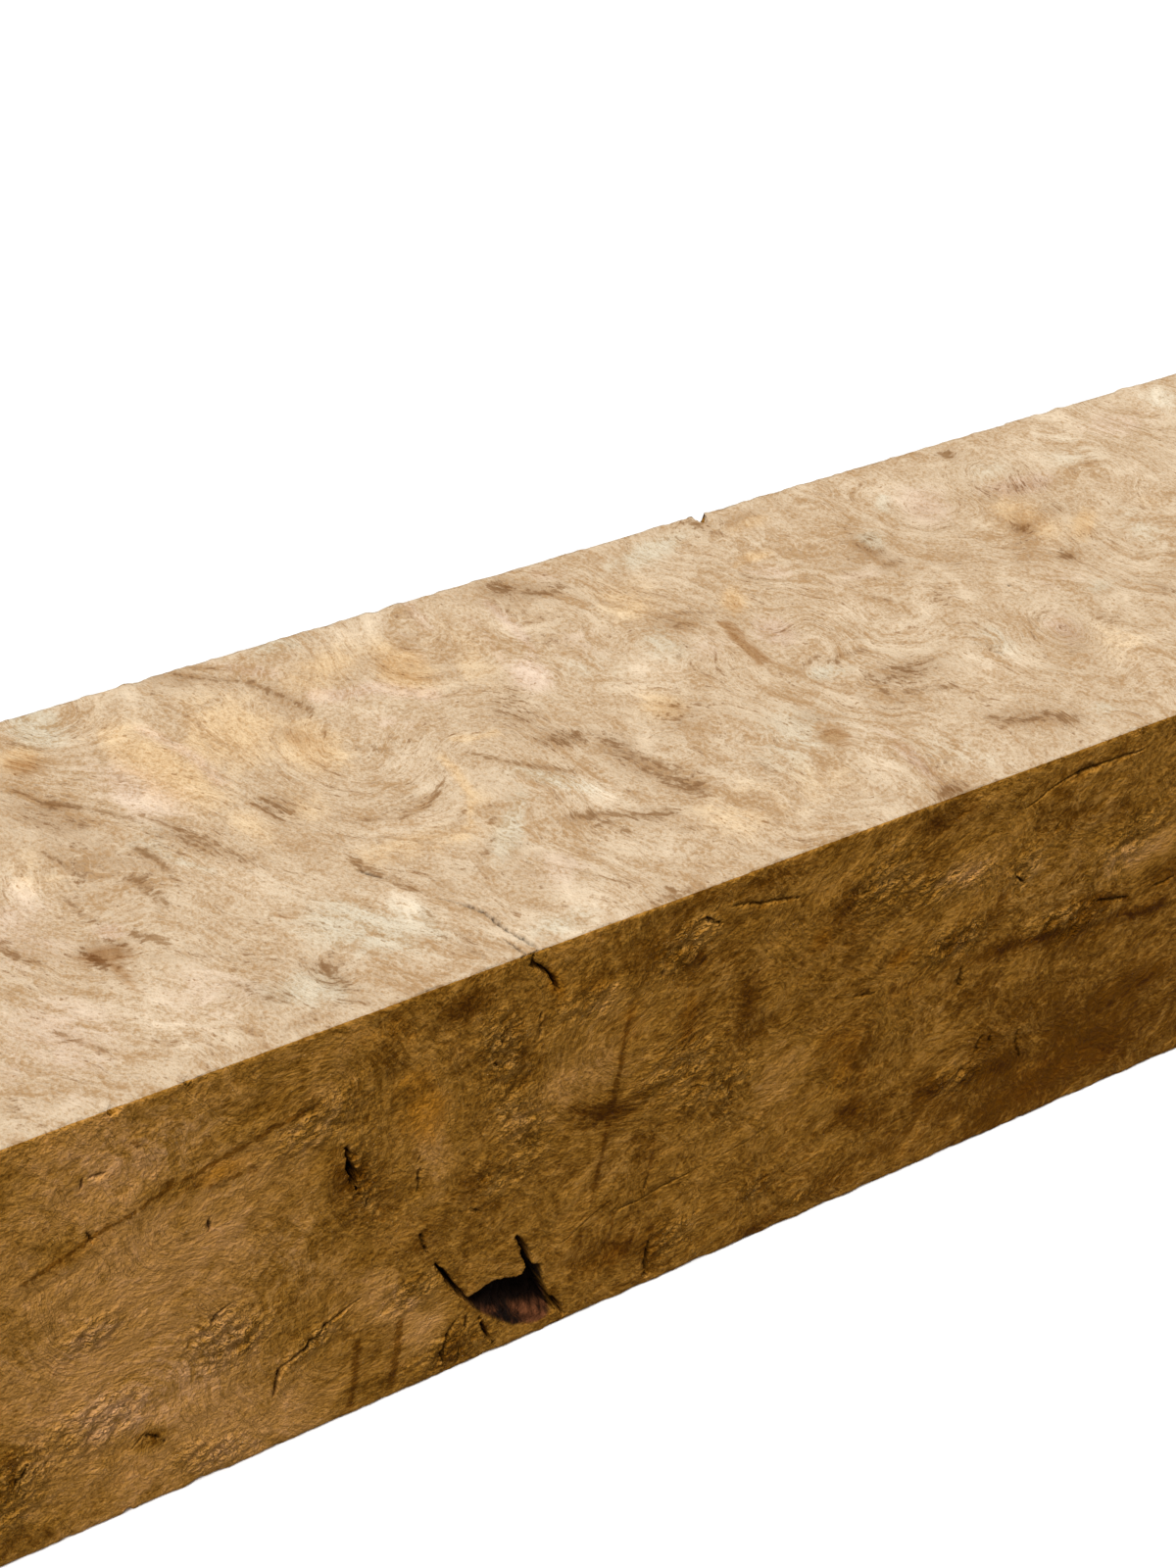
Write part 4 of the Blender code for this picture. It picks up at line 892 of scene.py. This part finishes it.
class Board:
    """A material's node tree, built by calls."""

    def __init__(self, material):
        material.use_nodes = True
        self.tree = material.node_tree
        self.tree.nodes.clear()

    def node(self, kind, settings=None, sockets=None, output=0):
        """Adds a node, sets it, then fills its sockets with values or links. Gives one output."""
        made = self.tree.nodes.new(kind)
        for name, value in (settings or {}).items():
            setattr(made, name, value)
        for key, value in (sockets or {}).items():
            if isinstance(value, Value):
                self.tree.links.new(value.socket, made.inputs[key])
            else:
                made.inputs[key].default_value = value
        return Value(self, made.outputs[output]) if len(made.outputs) else None

    def math(self, operation, *values):
        return self.node("ShaderNodeMath", {"operation": operation}, dict(enumerate(values)))

    def noise(self, place, scale, detail=2, roughness=0.5, distortion=0.0):
        """Noise from 0 to 1, mostly near 0.5."""
        sockets = {"Vector": place, "Scale": scale, "Detail": detail}
        sockets.update({"Roughness": roughness, "Distortion": distortion})
        return self.node("ShaderNodeTexNoise", None, sockets)

    def mix(self, share, first, second, blend="MIX"):
        """The first colour where share is 0, and the second where it is 1."""
        sockets = {0: share, 6: first, 7: second}
        return self.node("ShaderNodeMix", {"data_type": "RGBA", "blend_type": blend}, sockets, 2)

    def tint(self, share, colour, tint):
        """The colour multiplied by a tint, which keeps the grain beneath it."""
        return self.mix(share, colour, opaque(tint), "MULTIPLY")

    def join(self, x, y, z):
        return self.node("ShaderNodeCombineXYZ", None, {0: x, 1: y, 2: z})

    def split(self, vector):
        made = self.node("ShaderNodeSeparateXYZ", None, {0: vector}).socket.node
        return [Value(self, socket) for socket in made.outputs]

    def stored_number(self, name):
        return self.node("ShaderNodeAttribute", {"attribute_name": name}, output=2)

    def stored_four(self, name):
        """The four numbers of a stored colour."""
        made = self.node("ShaderNodeAttribute", {"attribute_name": name}).socket.node
        colour = Value(self, made.outputs["Color"])
        return [*self.split(colour), Value(self, made.outputs["Alpha"])]


def opaque(colour):
    return (*colour, 1)


class Figure:
    """The grain, noises and stored marks that the wood's colours and relief read.

    The noises from strand to crumb swing about 0, and mostly stay within 0.3 of it.
    """

    def __init__(self, board):
        self.board = board
        place = board.node("ShaderNodeTexCoord", output=3)
        mm = board.node("ShaderNodeVectorMath", {"operation": "SCALE"}, {0: place, "Scale": 1 / MM})
        self.x, self.y, self.z = board.split(mm)
        self.shade = board.stored_number("shade")
        self.honey, self.grey, self.lilac, self.dark = board.stored_four("tones")
        self.rust, self.crack, self.torn, self.bark = board.stored_four("harm")
        self.grain = board.stored_number("flow") + 1.2 * board.noise(mm, 0.3, detail=1)

        self.strand = self.along_grain(0.7, 0.12, detail=4)
        self.hair = self.along_grain(2.6, 1.5)
        self.flake = self.along_grain(1.4, 0.8)
        self.cloud = board.noise(mm, 0.24, detail=4, roughness=0.6, distortion=1.0) - 0.5
        self.speck = board.noise(mm, 2.8, roughness=0.8) - 0.5
        self.crumb = board.noise(mm, 1.3, roughness=0.6) - 0.5

        # Soft ramps with a crisp edge along the grain, in patches: painted fold-like shading, like creased
        # silk
        fold_shading = board.math("FRACT", 0.4 * self.grain + 2.6 * board.noise(mm, 0.2)) - 0.5
        self.fold_shading = fold_shading * board.noise(mm, 0.13).step(0.4, 0.62)
        busy = 0.5 + 0.9 * board.noise(mm, 0.11, detail=1).step(0.38, 0.62)
        self.streaks = busy * (2.2 * self.strand + 1.4 * self.hair)
        fibre = self.along_grain(1.3, 0.2)
        self.crease = self.line(fibre, -0.08)
        self.thread = self.line(fibre, 0.08)
        self.clouds = 0.5 * self.streaks + 1.8 * self.cloud
        self.grit = self.streaks + 1.2 * self.crumb + 1.4 * self.speck
        self.bits = 3.0 * self.hair + 1.6 * self.speck + 2.4 * fibre

    def along_grain(self, across, along, detail=2):
        """Noise drawn out along the grain, from how fine it is across the grain and along it."""
        place = self.board.join(across * self.grain, along * self.x, along * (self.y + self.z))
        return self.board.noise(place, 1.0, detail, roughness=0.6) - 0.5

    def line(self, fibre, level):
        """Thin lines along the grain, where a noise crosses a level."""
        return 1.0 - self.board.math("ABSOLUTE", fibre - level).step(0.0, 0.025)

    def soft(self, mark):
        """A stored tint, clouded and drawn out along the grain."""
        return (mark + self.clouds).step(0.05, 1.0)

    def sharp(self, mark, low):
        """A stored streak or stain, broken into fibres and grains."""
        return 0.2 * mark.under(1.0) + 0.75 * (mark + self.bits).step(low, 1.1)


def top_colour(board, figure, colours):
    """The planed face: pale, clouded and finely streaked along the grain."""
    tone = 0.2 * figure.streaks + 0.36 * figure.cloud + 0.56 * figure.speck + 0.08 * figure.crumb
    tone = tone + 0.03 * figure.shade + 0.11 * figure.thread + 0.09 * figure.fold_shading
    wood = board.mix(tone.step(-0.18, 0.14), opaque(colours.tan), opaque(colours.pale))
    wood = board.tint(figure.soft(figure.honey), wood, colours.honey)
    wood = board.tint(figure.soft(figure.grey), wood, colours.grey)
    wood = board.tint(figure.soft(figure.lilac), wood, colours.lilac)
    wood = board.tint(0.17 * figure.crease, wood, colours.streak)
    # Lighter and darker by the clouds and the broad shades: partly the wood's tone, partly painted light and
    # shade
    wood = board.tint((0.5 * figure.clouds + figure.shade).step(0.0, 1.2), wood, colours.light)
    wood = board.tint(0.5 * (0.8 * figure.grit - figure.shade).step(0.0, 1.4), wood, colours.streak)
    wood = board.tint(figure.sharp(figure.dark, 0.36), wood, colours.streak)
    return board.tint(0.8 * (0.8 * figure.rust + 0.5 * figure.bits).step(0.0, 1.0), wood, colours.rust)


def side_colour(board, figure, colours):
    """The sawn faces: brown, fibrous and mottled, and darkest in their hollows, where the shade is painted."""
    # The tone follows the relief's speck and flake in part, so its pale colour is partly a painted highlight
    # on the raised fibres and its dark colour partly painted shade between them
    tone = 0.05 * figure.streaks + 0.18 * figure.cloud + 0.14 * figure.speck
    tone = tone + 0.04 * figure.fold_shading + 0.14 * figure.flake
    wood = board.mix(tone.step(-0.12, 0.05), opaque(colours.side_dark), opaque(colours.side))
    lift = 0.08 * figure.lilac + 0.03 * figure.torn + 0.01 * figure.thread
    wood = board.mix((tone + lift).step(0.0, 0.18), wood, opaque(colours.side_pale_and_highlight))
    wood = board.tint(0.14 * figure.crease, wood, colours.side_deep_and_hollow_shade)
    wood = board.tint(figure.soft(figure.honey), wood, colours.side_honey)
    # Lighter and whiter where the clouds and the broad shades lift it: partly paler wood, partly painted light
    # with a whitish sheen
    wood = board.tint((0.4 * figure.clouds + figure.shade).step(0.0, 1.1), wood, colours.side_tone_and_painted_light)
    # Painted shade in the hollows: darker where the relief's noises are low and where the broad shades fall
    # below 0
    raised = 1.8 * figure.flake + 2.0 * figure.speck + 1.8 * figure.cloud + 1.2 * figure.crumb
    hollow_shade = 1 - (raised + figure.shade).step(-1.1, 0.7)
    wood = board.tint(0.95 * hollow_shade, wood, colours.side_deep_and_hollow_shade)
    return board.tint(0.9 * figure.sharp(figure.dark, 0.52), wood, colours.side_deep_and_hollow_shade)


def planed_share(figure):
    """1 on the planed top and 0 on the sawn sides, with a fine ragged border at the edges."""
    depth = TOP - figure.z
    flank = (figure.y - FRONT).under(BACK - figure.y).under((figure.x - LEFT).under(RIGHT - figure.x))
    return (flank - depth + 0.12 * figure.hair).step(-0.04, 0.04)


def wood_relief(figure, planed):
    """Height of the finest roughness, in millimetres: slight where planed, strongest where torn."""
    crumbs = figure.crumb.step(-0.08, 0.1)
    flakes = figure.flake.step(-0.06, 0.06)
    fine = 0.14 + 0.1 * figure.speck + 0.08 * figure.hair + 0.1 * figure.crumb
    rough = 0.25 + 0.16 * figure.speck + 0.14 * figure.flake + 0.2 * figure.crumb + 0.03 * flakes
    torn = 0.2 + 0.1 * figure.speck + 0.3 * figure.crumb + 0.1 * flakes + 0.2 * crumbs
    rough = rough + figure.torn * torn - 0.04 * figure.crease
    return rough + planed * (fine - rough)


def burl_material(colours):
    """Burl wood: pale and marbled where it is planed, brown and rough where it is sawn."""
    material = bpy.data.materials.new("sawn_burl")
    board = Board(material)
    figure = Figure(board)
    planed = planed_share(figure)
    wood = board.mix(planed, side_colour(board, figure, colours), top_colour(board, figure, colours))
    # The pocket's bark lining, in strands with the near black of the crack shade between them
    bark = board.mix(figure.strand.step(-0.08, 0.08), opaque(colours.crack), opaque(colours.bark))
    wood = board.mix(figure.bark, wood, bark)
    # Painted shade in the cracks and under the pocket's lip
    wood = board.mix(figure.crack, wood, opaque(colours.crack))
    bump = board.node("ShaderNodeBump", None, {"Height": wood_relief(figure, planed), "Distance": MM})
    shader = board.node("ShaderNodeBsdfPrincipled", None, {
        "Base Color": wood,
        "Roughness": 0.88 - 0.2 * planed,
        "Specular IOR Level": 0.04,
        "Normal": bump,
    })
    board.node("ShaderNodeOutputMaterial", None, {"Surface": shader})
    return material


def plain_material(name, colour, roughness):
    material = bpy.data.materials.new(name)
    board = Board(material)
    sockets = {"Base Color": opaque(colour), "Roughness": roughness}
    shader = board.node("ShaderNodeBsdfPrincipled", None, sockets)
    board.node("ShaderNodeOutputMaterial", None, {"Surface": shader})
    return material


def glowing_material(name, colour):
    material = bpy.data.materials.new(name)
    board = Board(material)
    glow = board.node("ShaderNodeEmission", None, {"Color": opaque(colour), "Strength": 1.0})
    board.node("ShaderNodeOutputMaterial", None, {"Surface": glow})
    return material


def linked_object(name, data):
    made = bpy.data.objects.new(name, data)
    bpy.context.scene.collection.objects.link(made)
    return made


def mesh_from(name, shape):
    """A mesh of a bmesh, which is freed here."""
    mesh = bpy.data.meshes.new(name)
    shape.to_mesh(mesh)
    shape.free()
    return mesh


def colour_property(name, description, default):
    return bpy.props.FloatVectorProperty(
        name=name, description=description, default=default, subtype="COLOR", size=3, min=0, max=3
    )


class BurlSizes(bpy.types.PropertyGroup):
    """What can be set about the block's shape"""

    edge_wear: bpy.props.FloatProperty(
        name="Edge wear", description="How far the sawn edges are worn back",
        default=0.22 * MM, min=0, unit="LENGTH",
    )
    relief: bpy.props.FloatProperty(
        name="Relief", description="Height of the roughness that the saw left on the sides",
        default=0.26 * MM, min=0, unit="LENGTH",
    )


class BurlColours(bpy.types.PropertyGroup):
    """The wood's colours, and the tints that multiply them"""

    pale: colour_property("Pale", "Palest wood of the planed face", (0.634, 0.492, 0.334))
    tan: colour_property("Tan", "Middle tone of the planed face", (0.415, 0.252, 0.122))
    # Light lifts the planed face where the clouds and broad shades rise: partly paler wood, partly painted
    # light
    light: colour_property("Light", "Tint of the lighter parts of the planed face", (1.18, 1.21, 1.26))
    honey: colour_property("Honey", "Tint of the warm patches of the planed face", (1.16, 1.09, 0.94))
    grey: colour_property("Grey", "Tint of the cool patches of the planed face", (1.03, 1.15, 1.26))
    lilac: colour_property("Lilac", "Tint of the pinkish patches of the planed face", (1.06, 1.04, 1.13))
    # Streak also darkens the planed face where the broad shades fall, partly as painted shade
    streak: colour_property("Streak", "Tint of the dark lines of the planed face", (0.51, 0.39, 0.27))
    rust: colour_property("Rust", "Tint of the stains on the planed face", (0.58, 0.39, 0.20))
    side: colour_property("Side", "Middle tone of the sawn sides", (0.535, 0.248, 0.037))
    # Side, pale is partly a painted highlight on the raised fibres
    side_pale_and_highlight: colour_property("Side, pale", "Pale fibres of the sawn sides", (0.72, 0.38, 0.108))
    # Side, light is partly painted light with a whitish sheen
    side_tone_and_painted_light: colour_property("Side, light", "Tint of the lighter parts of the sawn sides", (1.4, 1.48, 2.8))
    side_honey: colour_property("Side, golden", "Tint of the golden patches of the sides", (1.0, 0.86, 0.40))
    side_dark: colour_property("Side, dark", "Darker zones of the sawn sides", (0.315, 0.137, 0.010))
    # Side, deep darkens the sides' grain lines and dark marks, and is also the painted shade in the hollows of
    # their relief
    side_deep_and_hollow_shade: colour_property("Side, deep", "Tint of the sides' hollows and streaks", (0.34, 0.25, 0.035))
    bark: colour_property("Bark", "Rough lining of the pocket", (0.17, 0.058, 0.022))
    # Crack is the near black of the painted shade inside the cracks and under the pocket's lip
    crack: colour_property("Crack", "Inside of the cracks", (0.010, 0.005, 0.003))


class StudioSettings(bpy.types.PropertyGroup):
    """The light, the floor and the camera"""

    key: bpy.props.FloatProperty(
        name="Key light", description="Strength of the soft light above", default=3.7, min=0
    )
    sky: bpy.props.FloatProperty(
        name="Fill", description="Brightness of the even light all round", default=0.25, min=0
    )
    floor: colour_property("Floor", "Colour of the floor", (0.86, 0.86, 0.86))
    lens: bpy.props.FloatProperty(
        name="Lens", description="Focal length of the camera, in millimetres", default=69.2325, min=1
    )
    eye: bpy.props.FloatVectorProperty(
        name="Camera", description="Where the camera stands",
        default=(-0.129684, -0.143079, 0.207643), subtype="TRANSLATION", unit="LENGTH",
    )
    azimuth: bpy.props.FloatProperty(
        name="Azimuth", description="Turn of the camera round the block",
        default=math.radians(-39.959), subtype="ANGLE",
    )
    elevation: bpy.props.FloatProperty(
        name="Elevation", description="Angle of the camera above the horizon",
        default=math.radians(41.397), subtype="ANGLE",
    )
    roll: bpy.props.FloatProperty(
        name="Roll", description="Tilt of the camera about its own line of sight",
        default=math.radians(10.120), subtype="ANGLE",
    )


class BURL_OT_add_block(bpy.types.Operator):
    """Adds the block of burl wood with its cracks, pocket and figure"""

    bl_idname = "burl.add_block"
    bl_label = "Add burl block"

    def execute(self, context):
        mesh = mesh_from("burl_block", block_grid())
        places = np.empty(len(mesh.vertices) * 3, np.float32)
        mesh.vertices.foreach_get("co", places)
        places = places.reshape(-1, 3).astype(float)
        write_marks(mesh, places)
        moved = carve(places, context.scene.burl_sizes) * MM
        mesh.vertices.foreach_set("co", moved.astype(np.float32).ravel())
        mesh.shade_smooth()
        mesh.update()
        mesh.materials.append(burl_material(context.scene.burl_colours))
        block = linked_object("burl_block", mesh)
        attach(block, "root")
        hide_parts("burl_blank")
        print("burl_block has", len(mesh.polygons), "triangles")
        return {"FINISHED"}


def add_floor(colour):
    shape = bmesh.new()
    bmesh.ops.create_grid(shape, x_segments=1, y_segments=1, size=FLOOR_HALF)
    floor = linked_object("floor", mesh_from("floor", shape))
    floor.data.materials.append(plain_material("pale_floor", colour, 0.9))
    floor.visible_diffuse = False


def add_backdrop():
    """A pale glowing dome that only the camera sees."""
    shape = bmesh.new()
    bmesh.ops.create_uvsphere(shape, u_segments=48, v_segments=24, radius=BACKDROP_RADIUS)
    bmesh.ops.reverse_faces(shape, faces=shape.faces)
    backdrop = linked_object("backdrop", mesh_from("backdrop", shape))
    backdrop.data.materials.append(glowing_material("pale_backdrop", BACKDROP_WHITE))
    backdrop.visible_diffuse = False
    backdrop.visible_glossy = False
    backdrop.visible_shadow = False


def add_key_light(strength):
    data = bpy.data.lights.new("key", "SUN")
    data.energy = strength
    data.angle = KEY_SPREAD
    light = linked_object("key", data)
    light.rotation_mode = "QUATERNION"
    light.rotation_quaternion = Vector(KEY_FROM).to_track_quat("Z", "Y")


def add_sky(brightness):
    world = bpy.data.worlds.new("sky")
    world.use_nodes = True
    background = world.node_tree.nodes["Background"]
    background.inputs["Color"].default_value = (1, 1, 1, 1)
    background.inputs["Strength"].default_value = brightness
    bpy.context.scene.world = world


def add_camera(studio):
    turn = studio.azimuth
    height = studio.elevation
    back = Vector((math.sin(turn) * math.cos(height), -math.cos(turn) * math.cos(height), math.sin(height)))
    level = Vector((math.cos(turn), math.sin(turn), 0))
    right = level * math.cos(studio.roll) + back.cross(level) * math.sin(studio.roll)
    up = back.cross(right)
    data = bpy.data.cameras.new("camera")
    data.lens = studio.lens
    data.sensor_width = SENSOR_WIDTH
    data.clip_start = NEAREST_VIEW
    camera = linked_object("camera", data)
    camera.matrix_world = Matrix.Translation(studio.eye) @ Matrix((right, up, back)).transposed().to_4x4()
    bpy.context.scene.camera = camera


class BURL_OT_add_stage(bpy.types.Operator):
    """Adds the pale floor, the backdrop, the lights and the camera"""

    bl_idname = "burl.add_stage"
    bl_label = "Add studio"

    def execute(self, context):
        studio = context.scene.burl_studio
        add_floor(studio.floor)
        add_backdrop()
        add_key_light(studio.key)
        add_sky(studio.sky)
        add_camera(studio)
        context.scene.view_settings.view_transform = "Standard"
        context.scene.view_settings.look = "None"
        return {"FINISHED"}


class BURL_PT_panel(bpy.types.Panel):
    bl_idname = "BURL_PT_panel"
    bl_label = "Burl blank"
    bl_space_type = "VIEW_3D"
    bl_region_type = "UI"
    bl_category = "Burl"

    def draw(self, context):
        for group in (context.scene.burl_sizes, context.scene.burl_colours, context.scene.burl_studio):
            box = self.layout.box()
            for name in group.__annotations__:
                box.prop(group, name)
        for operator in OPERATORS:
            self.layout.operator(operator.bl_idname)


OPERATORS = (BURL_OT_add_block, BURL_OT_add_stage)
GROUPS = {"burl_sizes": BurlSizes, "burl_colours": BurlColours, "burl_studio": StudioSettings}


def register():
    for group in (*GROUPS.values(), *OPERATORS, BURL_PT_panel):
        bpy.utils.register_class(group)
    for name, group in GROUPS.items():
        setattr(bpy.types.Scene, name, bpy.props.PointerProperty(type=group))


def unregister():
    for name in GROUPS:
        delattr(bpy.types.Scene, name)
    for group in (BURL_PT_panel, *OPERATORS, *GROUPS.values()):
        bpy.utils.unregister_class(group)


def main():
    register()
    bpy.ops.burl.add_stage()
    bpy.ops.burl.add_block()


if __name__ == "__main__":
    main()
